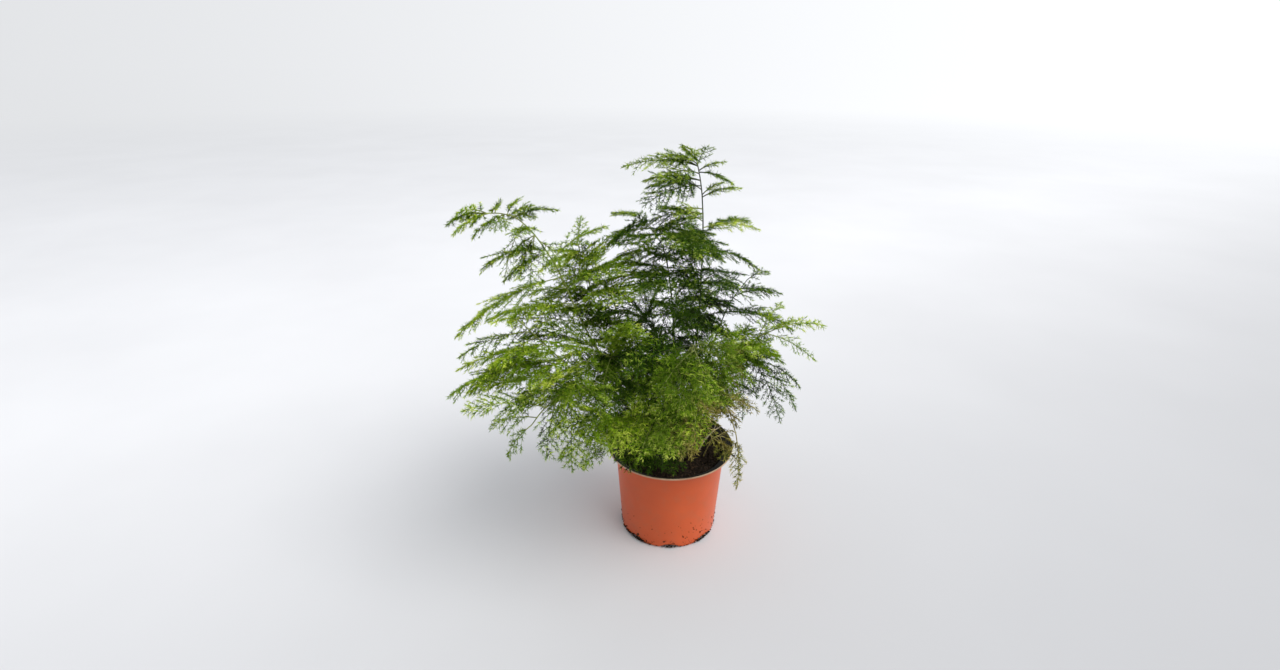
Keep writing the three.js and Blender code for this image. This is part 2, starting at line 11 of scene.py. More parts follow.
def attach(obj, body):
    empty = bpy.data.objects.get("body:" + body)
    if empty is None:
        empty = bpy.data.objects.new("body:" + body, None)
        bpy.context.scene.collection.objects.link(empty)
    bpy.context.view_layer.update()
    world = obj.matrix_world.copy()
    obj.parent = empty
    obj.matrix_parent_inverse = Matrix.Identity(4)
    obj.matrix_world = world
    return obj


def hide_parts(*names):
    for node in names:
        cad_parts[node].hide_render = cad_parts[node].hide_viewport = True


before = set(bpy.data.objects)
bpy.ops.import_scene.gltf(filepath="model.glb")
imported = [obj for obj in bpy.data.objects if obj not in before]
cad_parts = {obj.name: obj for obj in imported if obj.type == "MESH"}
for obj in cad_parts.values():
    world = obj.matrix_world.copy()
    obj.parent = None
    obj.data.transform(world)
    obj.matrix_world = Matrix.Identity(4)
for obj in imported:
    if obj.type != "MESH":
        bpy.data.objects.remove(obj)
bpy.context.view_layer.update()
MM = 0.001  # the plant and the pot are planned in millimetres

# Camera at the photograph's viewing angle
CAMERA_AT = (-0.0321, -0.5702, 0.4645)
CAMERA_FORWARD = Vector((0.0, 0.918, -0.3965))
CAMERA_UP = Vector((-0.0069, 0.3965, 0.918))
CAMERA_LENS = 18.0

# Surroundings, floor and light, in metres
GLOW_COLOUR = (0.96, 0.975, 1.0, 1.0)
GLOW_SPAN = (-0.7, 0.6)  # of a direction, over which the brightness goes from one value to the other
GLOW_FRONT_TO_BACK = (0.6, 1.08)
GLOW_LEFT_TO_RIGHT = (0.74, 1.0)
FLOOR_FADE = (0.7, 7.0)  # how far off the floor begins to fade into a glow like the surroundings, and has faded
FLOOR_LIGHT_TOWARD = (-0.7, 1.0, 0.0)
FLOOR_SPAN = (-1.0, 1.0)  # along that direction
FLOOR_SHADE = (0.8, 0.0)  # how much painted shade greys the floor at the ends of that span
KEY_AT = (3.2, -2.3, 4.9)
KEY_TARGET = (0, 0, 0.2)

# Values shared with the solids, in millimetres and degrees
FOOT_Z = 70
FOOT_RADIUS = 1.3
TIP_RADIUS = 0.55
STEPS_PER_POINT = 2
PETIOLE_SHARE = 0.12
PAIR_PITCH = 20
TOOTH_SHARE = 0.34
WIDTH_SHARE = 0.44
FORWARD_ANGLE = 50
LEAN_SPREAD = 16
BRANCHLET_SAG = 0.12
LONGEST_AT = 0.2  # share of a spray where its branchlets are longest
FIRST_LENGTH = 0.66
RISE_TO_LONGEST = 1.7
FALL_FROM_LONGEST = 0.92
RIB_STEPS = 60
ROLL_SPREAD = 44
OUTER_DROOP = 24
BOW = 20
FAN_END = 0.92
FAN_TAPER = 0.35
FAN_LENGTH = (0.85, 0.3)  # the least and what chance adds to it, here and in the next three
FAN_LIFT = (18, 16)
FAN_FALL = (14, 26)
TOOTH_LENGTH = (0.82, 0.36)
SWINGS = [0, 7, -7, 14, -14, 24, -24, 36, -36, 50, -50]
TIPPINGS = [0, 8, -8, 16, -16]
SHRINKS = [1, 0.86, 0.72, 0.58]

# A solid's spray is known by its tips: how near each is to a corner, and how many may not be
MATCH_WITHIN = 0.05
MISSES_ALLOWED = 0.3

# The stems: seed, fan, route and tips are the solids', the rest is the fine foliage's own.
# fan: how many sprays fan out, from where on, the longest, their heading, least and most angle off it
# tips, veil: where single sprays leave the stem, where they end, and their width if it isn't the usual
# shift: how much lighter the stem is
# odd: the tint of single sprays, how much lighter they are, their share of needles and their numbers
STEMS = [
  dict(name="stem_tall_centre", tint="dark", seed=3, shift=0.1, fan=[3, 0.38, 78, -60, 20, 110],
    route=[[12, 6, 88], [24, 12, 200], [26, 13, 300], [23, 10, 352], [17, 6, 382]],
    tips=[[1, 6, -10, 396, 0.7], [0.98, -9, -12, 389, 0.6], [0.97, -49, -2, 377, 0.34],
      [0.98, 28, 24, 393, 0.6], [0.94, 42, 8, 381, 0.5], [0.92, -22, -26, 372], [0.88, -31, 12, 363, 0.5],
      [0.85, -30, -24, 348, 0.5], [0.79, 60, 20, 356, 0.4], [0.69, -14, 42, 332, 0.5],
      [0.67, 80, 22, 317, 0.34], [0.63, -57, -26, 314], [0.62, 12, -62, 316], [0.6, 84, 34, 274, 0.3],
      [0.55, -34, -62, 282], [0.56, 40, -66, 284], [0.52, 10, -42, 252], [0.5, 105, 48, 243, 0.3],
      [0.46, 102, 24, 226, 0.34], [0.44, 50, -36, 232]],
    veil=[[0.99, 6, -14, 391, 0.6], [0.8, 42, 16, 362, 0.5], [0.72, 11, -10, 334], [0.74, -2, -10, 336],
      [0.66, 20, -50, 307], [0.64, -6, -40, 317], [0.48, 62, 6, 244], [0.54, -14, -50, 258],
      [0.4, 0, -24, 216], [0.97, -18, -8, 384, 0.5], [0.88, -28, -6, 360, 0.4], [0.93, 50, 4, 362, 0.44],
      [0.72, -34, -4, 326], [0.66, -10, -28, 306], [0.6, 44, -14, 296, 0.36], [0.62, 10, -18, 288],
      [0.64, 0, -12, 294], [0.46, -18, 4, 236], [0.7, -22, -1, 320], [0.62, -3, -27, 297],
      [0.62, 41, -17, 296, 0.36], [0.48, 26, -22, 221], [0.6, 13, -9, 287]],
    odd=[["dark", 0.16, 0.9, [0]], ["dark", 0.16, 1, [1, 23]], ["dark", 0.16, 0.8, [2, 3, 4]],
      ["dark", 0.14, 0.8, [5]], ["dark", 0.12, 0.8, [6]], ["dark", 0.1, 0.8, [7]],
      ["dark", 0.14, 1, [8, 24]], ["fresh", 0.2, 0.6, [10]], ["dark", 0.06, 1, [11, 27, 28]],
      ["dark", 0.04, 1, [12]], ["dark", -0.04, 0.6, [17, 18]], ["mid", -0.02, 1, [25]],
      ["mid", -0.04, 1, [26]]]),
  dict(name="stem_tall_back", tint="dark", seed=8, shift=0.06, fan=[4, 0.36, 80, 100, 10, 120],
    route=[[2, 16, 88], [3, 32, 200], [-6, 42, 280], [-20, 34, 312], [-34, 24, 324]],
    tips=[[1, -68, 14, 296], [0.92, -24, -26, 314], [0.85, -66, 50, 294], [0.8, 24, 66, 308],
      [0.74, -54, -12, 282], [0.66, -64, 70, 268], [0.6, -36, -12, 248], [0.62, 46, 84, 270],
      [0.56, -44, -30, 256], [0.52, 66, 62, 246]],
    veil=[[0.5, -38, 0, 222], [0.46, 20, -6, 212], [0.7, -26, -34, 274], [0.8, 14, 30, 312],
      [0.56, -24, 22, 232], [0.5, -8, 14, 226]],
    odd=[["fresh", -0.02, 1, [0]], ["mid", 0, 1, [2]], ["fresh", 0, 1, [4, 6, 8]], ["mid", -0.04, 1, [5]]]),
  dict(name="stem_centre_dark", tint="dark", seed=101, shift=0.1, fan=[3, 0.36, 62, 280, 30, 140],
    route=[[2, 2, 88], [-4, -8, 160], [-14, -20, 220], [-32, -34, 252]],
    tips=[[1, -74, -52, 258], [0.93, -46, -76, 246], [0.86, -16, -74, 240], [0.8, -68, -10, 268],
      [0.74, 14, -44, 250], [0.7, 4, -48, 224], [0.68, -60, -46, 214], [0.62, -20, -66, 206],
      [0.56, 22, -50, 210]],
    veil=[[0.8, -34, -60, 226], [0.6, -40, -30, 206], [0.5, 18, -36, 196], [0.66, -30, -48, 236],
      [0.62, -64, -46, 204], [0.5, -6, -54, 214], [0.72, -20, -10, 232], [0.64, -6, -12, 236],
      [0.74, -20, -4, 232], [0.5, -43, -35, 191], [0.56, -24, -33, 195], [0.5, -22, -41, 178],
      [0.5, -49, -38, 170], [0.84, -27, -15, 262], [0.72, -10, -15, 238]]),
  dict(name="stem_long_left", tint="fresh", seed=5, shift=-0.1, fan=[2, 0.36, 70, 230, 10, 60],
    route=[[-12, -5, 88], [-50, -22, 174], [-83, -30, 239], [-108, -25, 297], [-140, -15, 335],
      [-176, -6, 338]],
    tips=[[1, -208, 2, 324], [0.95, -196, -26, 322], [0.93, -165, 20, 338], [0.87, -134, 20, 336],
      [0.85, -106, 0, 339], [0.9, -150, -20, 326, 0.5], [0.86, -128, 6, 330, 0.5],
      [0.89, -184, -6, 314, 0.4], [0.81, -150, -40, 286], [0.76, -156, -46, 286, 0.5],
      [0.71, -184, -36, 283, 0.5], [0.74, -112, -52, 302], [0.68, -62, 4, 324, 0.34],
      [0.63, -194, -58, 238, 0.4], [0.6, -60, -34, 292], [0.55, -164, -66, 258], [0.47, -70, 36, 262],
      [0.44, -140, -40, 232]],
    veil=[[0.97, -184, 0, 325, 0.6], [0.88, -146, 0, 331, 0.6], [0.76, -136, -46, 290],
      [0.7, -152, -38, 284], [0.56, -148, -52, 250, 0.36], [0.97, -192, -5, 329, 0.6],
      [0.97, -201, 10, 333, 0.5], [0.88, -143, 8, 347, 0.6], [0.9, -160, -21, 324, 0.7],
      [0.76, -148, -33, 302, 0.5], [0.6, -132, -33, 270]],
    odd=[["mid", 0, 1, [0, 2, 3, 4, 6, 9, 20, 21, 22, 23, 25, 27, 29]], ["mid", 0, 0.3, [8]],
      ["mid", 0, 0.7, [10]]]),
  dict(name="stem_left_inner", tint="fresh", seed=12, shift=0.07, fan=[2, 0.42, 70, 120, 20, 100],
    route=[[-4, 4, 88], [-52, 10, 175], [-76, 16, 245], [-92, 22, 304]],
    tips=[[1, -90, 44, 324], [0.96, -126, -10, 284], [0.92, -68, -24, 302], [0.88, -62, 40, 306],
      [0.84, -108, -22, 282], [0.8, -122, 6, 256], [0.78, -36, -66, 276], [0.7, -80, -42, 246],
      [0.66, -44, -26, 236], [0.6, -106, 34, 218], [0.54, -60, -40, 208]],
    veil=[[0.6, -74, -30, 222], [0.86, -56, -62, 296], [0.94, -72, 12, 308], [0.96, -100, -6, 294],
      [0.86, -112, -24, 293], [0.75, -134, 4, 250, 0.4], [0.95, -106, 2, 284], [0.9, -110, 30, 294],
      [0.92, -98, 11, 298], [0.86, -90, 7, 312], [0.74, -106, -23, 244, 0.36]],
    odd=[["dark", -0.04, 1, [10]]]),
  dict(name="stem_left_low", tint="fresh", seed=17, fan=[3, 0.42, 66, 170, 10, 70],
    route=[[-14, -12, 88], [-62, -44, 165], [-100, -60, 218], [-136, -62, 258]],
    tips=[[1, -166, -64, 264], [0.93, -182, -92, 236], [0.85, -152, -112, 236],
      [0.82, -190, -76, 216, 0.36], [0.76, -192, -102, 204], [0.7, -106, -116, 222],
      [0.64, -168, -62, 192], [0.56, -66, -96, 206]],
    veil=[[0.8, -118, -95, 236], [0.86, -139, -96, 231], [0.74, -138, -104, 214], [0.9, -166, -94, 208],
      [0.8, -182, -84, 196, 0.3], [0.86, -178, -90, 198, 0.3], [0.76, -172, -86, 199, 0.36]],
    odd=[["mid", -0.06, 0.8, [1, 10]], ["mid", -0.08, 1, [7]]]),
  dict(name="stem_left_front", tint="fresh", seed=96, shift=0.03, fan=[2, 0.4, 56, 215, 20, 110],
    route=[[-7, -10, 88], [-30, -36, 170], [-54, -60, 220], [-84, -76, 240]],
    tips=[[1, -128, -94, 242], [0.94, -122, -114, 220], [0.88, -92, -120, 206], [0.84, -126, -58, 252],
      [0.78, -64, -112, 208], [0.74, -52, -108, 192], [0.72, -98, -44, 256], [0.66, -52, -92, 262],
      [0.6, -94, -84, 200], [0.7, -26, -84, 260]],
    veil=[[0.64, -30, -98, 204], [0.8, -42, -96, 270], [0.84, -75, -84, 238], [0.9, -95, -92, 244],
      [0.5, -94, -42, 209], [0.6, -75, -58, 222], [0.56, -106, -30, 219, 0.36],
      [0.62, -111, -45, 208, 0.36]],
    # The sprays tinted dark here are painted shade in the hollow between the left and the front mass.
    odd=[["mid", -0.1, 1, [4, 14]], ["dark", -0.04, 1, [5, 11, 16, 17]], ["dark", -0.06, 1, [8, 12]],
      ["mid", -0.08, 1, [18, 19]]]),
  dict(name="stem_left_droop", tint="mid", seed=21, fan=[3, 0.4, 62, 200, 20, 100],
    route=[[-11, -20, 88], [-46, -58, 176], [-80, -88, 214], [-108, -106, 200], [-122, -112, 184]],
    tips=[[1, -142, -120, 158], [0.92, -158, -104, 178], [0.82, -176, -118, 200], [0.74, -108, -130, 162],
      [0.66, -88, -126, 148], [0.6, -148, -84, 196], [0.54, -62, -128, 196]],
    veil=[[0.7, -96, -118, 203], [0.64, -93, -120, 189], [0.5, -112, -92, 189], [0.62, -103, -126, 182],
      [0.7, -130, -112, 208], [0.56, -117, -92, 191]]),
  dict(name="stem_front_left", tint="fresh", seed=26, shift=0.03, fan=[2, 0.42, 50, 240, 20, 100],
    route=[[-4, -20, 88], [-28, -58, 160], [-48, -90, 178], [-60, -104, 166]],
    tips=[[1, -78, -124, 148], [0.94, -100, -114, 152], [0.88, -58, -130, 174], [0.8, -98, -92, 168],
      [0.74, -38, -128, 168], [0.68, -86, -124, 182], [0.6, -36, -112, 196], [0.54, -74, -66, 150]],
    veil=[[0.8, -66, -120, 172], [0.6, -52, -104, 160], [0.86, -80, -118, 206], [0.6, -90, -84, 180],
      [0.7, -78, -108, 160], [0.64, -66, -100, 160]]),
  dict(name="stem_front_centre", tint="mid", seed=31, shift=0.07, fan=[2, 0.4, 50, 270, 20, 110],
    route=[[0, -18, 88], [-8, -56, 150], [-18, -88, 176], [-24, -106, 174]],
    tips=[[1, -32, -134, 166], [0.94, -58, -126, 162], [0.88, -4, -134, 168], [0.8, 16, -120, 164],
      [0.74, -62, -104, 180], [0.66, -22, -118, 160], [0.58, -48, -80, 148], [0.54, 8, -98, 150]],
    odd=[["olive", -0.06, 0.7, [3]], ["fresh", -0.08, 1, [4]], ["dark", -0.1, 1, [6]]]),
  dict(name="stem_front_high", tint="mid", seed=36, shift=0.06, fan=[2, 0.44, 60, 270, 30, 110],
    route=[[6, -8, 88], [10, -32, 180], [12, -64, 236], [14, -92, 242]],
    tips=[[1, 22, -136, 220], [0.95, -18, -132, 224], [0.9, 50, -120, 218], [0.86, -46, -110, 230],
      [0.88, -2, -134, 206], [0.82, 4, -124, 202], [0.79, -16, -118, 194], [0.76, 66, -88, 236],
      [0.7, -54, -76, 240], [0.66, 40, -104, 200], [0.62, -34, -94, 206], [0.56, 60, -58, 216]],
    veil=[[0.74, 14, -122, 190], [0.68, -32, -106, 186], [0.6, 48, -94, 194], [0.6, 38, -38, 228]],
    # Sprays 3, 8 and 10 are tinted dark as painted shade in the hollow between the left and the front mass.
    odd=[["mid", -0.1, 1, [1]], ["mid", 0.02, 0.7, [2]], ["dark", -0.02, 1, [3]], ["mid", -0.08, 1, [4]],
      ["mid", 0, 0.8, [7]], ["dark", -0.14, 1, [8, 10]], ["mid", -0.08, 0.8, [9]],
      ["dark", -0.04, 1, [12]]]),
  dict(name="stem_front_mid", tint="mid", seed=91, shift=0.07, fan=[2, 0.42, 50, 280, 30, 110],
    route=[[12, -24, 88], [14, -52, 160], [12, -82, 200], [12, -104, 204]],
    tips=[[1, 14, -138, 180], [0.94, -18, -132, 184], [0.96, 12, -120, 156, 0.3],
      [0.92, 0, -120, 158, 0.34], [0.9, 30, -124, 198], [0.87, -6, -132, 166], [0.84, -40, -112, 198],
      [0.78, 60, -94, 194], [0.7, 0, -122, 172], [0.64, 26, -104, 196], [0.58, -34, -84, 188]],
    veil=[[0.78, 0, -124, 176], [0.64, -20, -106, 170], [0.5, 0, -78, 168]],
    odd=[["fresh", -0.12, 0.8, [0]], ["olive", 0.02, 0.8, [2]], ["olive", -0.04, 0.8, [3]],
      ["olive", -0.06, 0.6, [4]], ["olive", 0, 0.5, [7]], ["olive", -0.1, 0.3, [8]]]),
  dict(name="stem_front_right", tint="olive", seed=42, fan=[3, 0.42, 52, 290, 20, 100],
    route=[[14, -12, 88], [30, -42, 162], [44, -66, 182], [54, -80, 158]],
    tips=[[1, 57, -88, 104, 0.24], [0.84, 52, -96, 174], [0.66, 56, -70, 188], [0.6, 42, -98, 190],
      [0.56, 20, -98, 190]],
    odd=[["olive", 0, 0.5, [6]]]),
  dict(name="stem_right_bright", tint="fresh", seed=47, shift=0.05, fan=[3, 0.44, 56, 350, 20, 110],
    route=[[16, -3, 88], [42, -16, 172], [68, -22, 218], [96, -22, 236]],
    tips=[[1, 141, -18, 236, 0.3], [0.9, 128, -44, 212, 0.24], [0.84, 104, 8, 250, 0.34],
      [0.76, 94, -62, 218], [0.68, 44, -66, 226], [0.62, 78, -50, 212], [0.56, 92, 18, 200]],
    veil=[[0.7, 66, -40, 246], [0.6, 45, -40, 246], [0.7, 88, -34, 226], [0.96, 114, -18, 242, 0.4],
      [0.66, 88, -36, 198, 0.4], [0.86, 102, -14, 236], [0.7, 70, -6, 229], [0.6, 64, -6, 231],
      [0.76, 31, -76, 197, 0.3], [0.7, 39, -85, 189, 0.3]],
    odd=[["fresh", 0.3, 1, [0, 13]], ["fresh", 0.22, 0.7, [1]], ["mid", -0.1, 1, [4, 5]],
      ["mid", -0.12, 1, [6]], ["mid", -0.1, 0.5, [7]], ["fresh", 0.16, 1, [15]],
      ["olive", -0.02, 0.7, [18, 19]]]),
  dict(name="stem_right_dark", tint="dark", seed=52, fan=[2, 0.42, 52, 20, 20, 100],
    route=[[18, 6, 88], [48, 22, 152], [76, 24, 184], [98, 18, 180]],
    tips=[[1, 132, 10, 156, 0.3], [0.92, 128, -8, 142, 0.26], [0.82, 112, -26, 138, 0.3],
      [0.72, 94, -40, 150, 0.3], [0.8, 116, 50, 172], [0.62, 84, 70, 176], [0.54, 86, -12, 158]],
    veil=[[0.7, 74, -50, 212], [0.66, 98, 10, 175]],
    odd=[["dark", 0, 0.5, [6, 7]]]),
  dict(name="stem_right_back", tint="dark", seed=57, fan=[3, 0.42, 62, 60, 20, 110],
    route=[[12, 16, 88], [40, 46, 170], [60, 60, 225], [80, 70, 252]],
    tips=[[1, 106, 86, 256], [0.9, 116, 58, 240], [0.82, 58, 112, 252], [0.74, 128, 48, 204],
      [0.7, 24, 60, 250], [0.6, 106, 40, 196], [0.56, 44, 104, 200]],
    odd=[["dark", 0, 0.6, [1, 9]], ["dark", 0, 0.5, [2]]]),
  dict(name="stem_back_left", tint="mid", seed=61, fan=[7, 0.38, 80, 130, 20, 120],
    route=[[-10, 14, 88], [-44, 58, 175], [-66, 84, 235], [-94, 100, 268]],
    tips=[[1, -128, 112, 270]]),
  dict(name="stem_back", tint="mid", seed=66, fan=[7, 0.38, 76, 90, 20, 125],
    route=[[0, 22, 88], [4, 66, 172], [8, 96, 222], [16, 122, 232]],
    tips=[[1, 24, 156, 214]]),
  dict(name="shoot_left", tint="mid", seed=71, fan=[1, 0.5, 34, 225, 20, 100],
    route=[[-26, -16, 88], [-38, -28, 116], [-50, -40, 126]],
    tips=[[1, -76, -62, 118], [0.85, -40, -76, 112], [0.7, -72, -24, 128]],
    veil=[[0.8, -30, -62, 104], [0.6, -50, -44, 104]],
    odd=[["dark", -0.04, 1, [4, 5]]]),
  # This low shoot's shift darkens it as painted shade under the foliage above it.
  dict(name="shoot_front", tint="dark", seed=76, shift=-0.14, fan=[1, 0.5, 32, 270, 20, 100],
    route=[[-8, -32, 88], [-10, -44, 110], [-10, -54, 116]],
    tips=[[1, -10, -64, 106], [0.85, -34, -58, 110], [0.7, 12, -60, 106]],
    veil=[[0.9, -24, -62, 101], [0.7, 2, -62, 100], [0.6, -34, -48, 103]]),
  dict(name="shoot_right", tint="olive", seed=81, fan=[0, 0.5, 30, 320, 20, 100],
    route=[[34, -14, 88], [42, -18, 112], [50, -22, 118]],
    tips=[[1, 66, -22, 106], [0.85, 66, 0, 110], [0.7, 62, -36, 102]],
    veil=[[0.95, 53, -38, 100, 0.6], [0.8, 57, -28, 101, 0.6]],
    odd=[["olive", -0.1, 0.3, [1]], ["olive", -0.1, 0.25, [2]]]),
]

DRY_STEM = [[31, -1, 88], [37, 4, 97], [45, 10, 103], [54, 16, 106]]
DRY_TWIG = [[45, 10, 103], [50, 20, 112]]
POT_SHELL = [  # radius and height, from the middle of the underside up the outside and down the inside
    (0, 0), (30, 0), (42.6, 0), (43.4, 0), (48.2, 0), (49.3, 0.35), (49.9, 1.1), (50.1, 2.2), (50.3, 4),
    (50.5, 6.5), (50.8, 10), (51.6, 22), (52.7, 38), (53.8, 54), (54.9, 70), (55.7, 82), (56.1, 87.5),
    (56.6, 89.9), (57.9, 91.5), (60.4, 92.8), (63.2, 93.9), (64.5, 94.6), (65.0, 95.4), (65.05, 96.3),
    (64.8, 96.95), (64.3, 97.1), (63.85, 96.8), (63.6, 96.1), (63.1, 95.3), (61.4, 94.4), (58.6, 93.1),
    (56.3, 91.9), (55.1, 90.3), (54.6, 86), (53.6, 70), (51.4, 38), (49.8, 14), (49.3, 6.5), (49.0, 2.4),
    (48.0, 1.35), (43.4, 1.2), (42.6, 1.2), (0, 1.2)]
POT_LIP = (22, 24)  # these points of the shell are the pale edge, after the orange and before the black: wear and a painted highlight along the rim
POT_SIDES = 180
FOOT_BAND = (43, 10)  # least radius and greatest height of the wall that the drain notches shape
DRAINS = 8
DRAIN_WIDTH = 22
DRAIN_RISE = 4
DRAIN_RADIUS = 50
SOIL_EDGE_Z = 86
SOIL_CROWN = 3
SOIL_EDGE = 53.6
SOIL_WALL = [(46.9, 1.6), (50.2, 40.0), (53.4, 84.0)]  # radius and height
SOIL_SIDES = 150
SOIL_RINGS = 46
SOIL_CRUMBS = 1100
HUB = 0.02  # radius that closes a disc before its corners are joined
FOOT_TO_HUB = 0.0004  # from the first row of the soil's wall to such a radius
POT_CRUMBS = 420
CRUMB_CLUSTERS = [  # angle, spread and count, besides those all round the pot
    (-128, 7, 70), (-52, 5, 60), (-88, 4, 24), (-38, 4, 20), (-150, 8, 30), (60, 8, 40), (140, 9, 40)]
WALL_FOOT = 50.1
WALL_SLOPE = 0.07
DRY_STEPS = 36
DRY_RADII = (1.0, 0.55)
DRY_TWIG_STEPS = 8
DRY_TWIG_RADII = (0.5, 0.3)
DRY_TWIG_BOW = np.array([0.8, -0.8, 0])

# Short dark sprays on the lower part of each long stem; pairs are the least and the most
CORE = {"count": 5, "length": (30, 56), "share": (0.3, 0.66), "lift": (5, 30), "fall": (20, 50),
    "width": 0.5, "tone": 0.16, "shift": 0.4, "needles": 0.6, "wide": 1.7}
BARE_SOIL = ((-8, -90, 90), (66, 30, 160))  # none of them ends in this box, over the soil that shows

# Fine foliage, in millimetres, degrees and tones; pairs are the least and the most, or foot and tip
STEM_STEPS = 10
STEM_SIDES = 7
STEM_SLIM = 0.78
STEM_COARSE = 0.35  # how far the fine stem keeps to the solid's straight pieces
RIB_RADII = (0.55, 0.18)
RIB_STRIDE = 5
RIB_SIDES = 4
BRANCHLET_PITCH = 2.8
BRANCHLET_FEWEST = 6
BRANCHLET_STRAY = 0.25
BRANCHLET_END = 0.97  # share of the leafy rib where the last branchlet stands
BRANCHLET_REACH = (0.78, 1.12)
BRANCHLET_LEAN = 6
BRANCHLET_TILT = 0.14
BRANCHLET_RADII = (0.26, 0.1)
BRANCHLET_POINTS = 4
BRANCHLET_SIDES = 3
BLUNT_TIP = (0.12, 0.4)  # over this last share of a spray its branchlets shorten, down to this share
NEEDLE_NODE = 1.5
NEEDLE_LENGTH = (3.5, 5.7)
NEEDLE_WIDTH = 0.67
NEEDLE_WIDTHS = (0.8, 1.15)
NEEDLE_OPENING = (38, 76)
NEEDLE_STRAY = 0.75
NEEDLE_SUNK = 0.15
NEEDLE_TURN = 0.3
NEEDLE_TONES = [-0.28, -0.28, -0.28, 0.34]  # added at its three lower corners and its tip: painted shade at the foot, a painted highlight at the tip
NEEDLES_PER_MM = 1.93
TUFT_TONES = 4096
TUFT_SPREAD = 0.2
SHIFT_SPREAD = 0.14  # of a whole spray's tone
SHIFT_RANGE = (-0.24, 0.15)
# Painted shade: foliage darkens towards this middle of the plant, over these reaches
SHADE_CENTRE = [-18, 0, 195]
SHADE_REACH = [185, 140, 190]
SHADE_TOP = 325  # above it painted light makes the foliage lighter


def unit(v):
    return v / np.maximum(np.linalg.norm(v, axis=-1, keepdims=True), 1e-12)


def linear(r, g, b):
    """An sRGB colour of 0 to 255 as linear light, with alpha."""
    part = [c / 255 for c in (r, g, b)]
    return tuple(c / 12.92 if c <= 0.04045 else ((c + 0.055) / 1.055) ** 2.4 for c in part) + (1.0,)


# The solids' own rules, repeated

def random_from(seed):
    """Park and Miller's random numbers between 0 and 1."""
    modulus = 2147483647
    state = (seed * 7919) % modulus

    def draw():
        nonlocal state
        state = (state * 16807) % modulus
        return state / modulus

    return draw


def by_chance(least, added, draw):
    return least + added * draw()


def catmull_rom(points, share):
    last = len(points) - 1
    place = share * last
    i = min(int(place), last - 1)
    w = place - i
    before = points[i - 1] if i > 0 else 2 * points[0] - points[1]
    after = points[i + 2] if i + 2 <= last else 2 * points[last] - points[last - 1]
    a, b = points[i], points[i + 1]
    ta, tb = 0.5 * (b - before), 0.5 * (after - a)
    return a + ta * w + (-3 * a + 3 * b - 2 * ta - tb) * w**2 + (2 * a - 2 * b + ta + tb) * w**3


def stem_line(route, steps):
    points = np.array([[route[0][0], route[0][1], FOOT_Z]] + route, float)
    return np.array([catmull_rom(points, k / steps) for k in range(steps + 1)])


def coarse_line(stem):
    """The points between which the solid's stem is straight."""
    return stem_line(stem["route"], STEPS_PER_POINT * len(stem["route"]))


def point_along(line, share):
    place = share * (len(line) - 1)
    i = min(int(place), len(line) - 2)
    return line[i] + (line[i + 1] - line[i]) * (place - i)


def plan_to_tip(line, tip):
    start = point_along(line, tip[0])
    chord = np.array(tip[1:4], float) - start
    slope = math.degrees(math.atan2(chord[2], math.hypot(chord[0], chord[1])))
    length = np.linalg.norm(chord) * math.radians(BOW) / math.sin(math.radians(BOW))
    share = tip[4] if len(tip) > 4 else WIDTH_SHARE
    return dict(start=start, azimuth=math.degrees(math.atan2(chord[1], chord[0])), lift=slope + BOW,
                fall=BOW - slope, length=length, width=length * share)


def plan_in_fan(stem, line, share, side, draw):
    _, first, longest, heading, low, high = stem["fan"]
    length = longest * (1 - FAN_TAPER * share) * by_chance(*FAN_LENGTH, draw)
    start = point_along(line, first + (FAN_END - first) * share)
    azimuth = heading + side * (low + (high - low) * draw())
    lift = by_chance(*FAN_LIFT, draw)
    fall = by_chance(*FAN_FALL, draw)
    return dict(start=start, azimuth=azimuth, lift=lift, fall=fall, length=length,
                width=length * WIDTH_SHARE)


def roll_of(plan, chance):
    heading = math.radians(plan["azimuth"])
    ahead = np.array([math.cos(heading), math.sin(heading)])
    outward = unit(plan["start"][:2] + ahead * plan["length"] / 2)
    return ROLL_SPREAD * (chance - 0.5) - OUTER_DROOP * (outward[1] * ahead[0] - outward[0] * ahead[1])


def spray_plans(stem):
    line = coarse_line(stem)
    plans = [plan_to_tip(line, tip) for tip in stem["tips"]]
    count = stem["fan"][0]
    for i in range(count):
        draw = random_from(stem["seed"] * 100 + i)
        plans.append(plan_in_fan(stem, line, (i + 0.5) / count, 1 if i % 2 else -1, draw))
    for i, plan in enumerate(plans):
        plan["seed"] = stem["seed"] * 1000 + i
        plan["roll"] = roll_of(plan, random_from(plan["seed"])())
    return plans


def inner_plans(stem):
    """The sprays that only the fine foliage has."""
    rng = np.random.default_rng(stem["seed"] + 5000)
    line = coarse_line(stem)
    plans = [plan_to_tip(line, tip) for tip in stem.get("veil", [])]
    if stem["name"].startswith("stem"):
        for _ in range(CORE["count"]):
            length = rng.uniform(*CORE["length"])
            start = point_along(line, rng.uniform(*CORE["share"]))
            plans.append(dict(start=start, azimuth=rng.uniform(0, 360), lift=rng.uniform(*CORE["lift"]),
                              fall=rng.uniform(*CORE["fall"]), length=length,
                              width=length * CORE["width"], core=True))
    for plan in plans:
        plan["roll"] = roll_of(plan, rng.random())
    return [plan for plan in plans if "core" not in plan or not over_bare_soil(rib_frames(plan)[0][-1])]


def over_bare_soil(point):
    low, high = BARE_SOIL
    return all(low[i] < point[i] < high[i] for i in range(3))


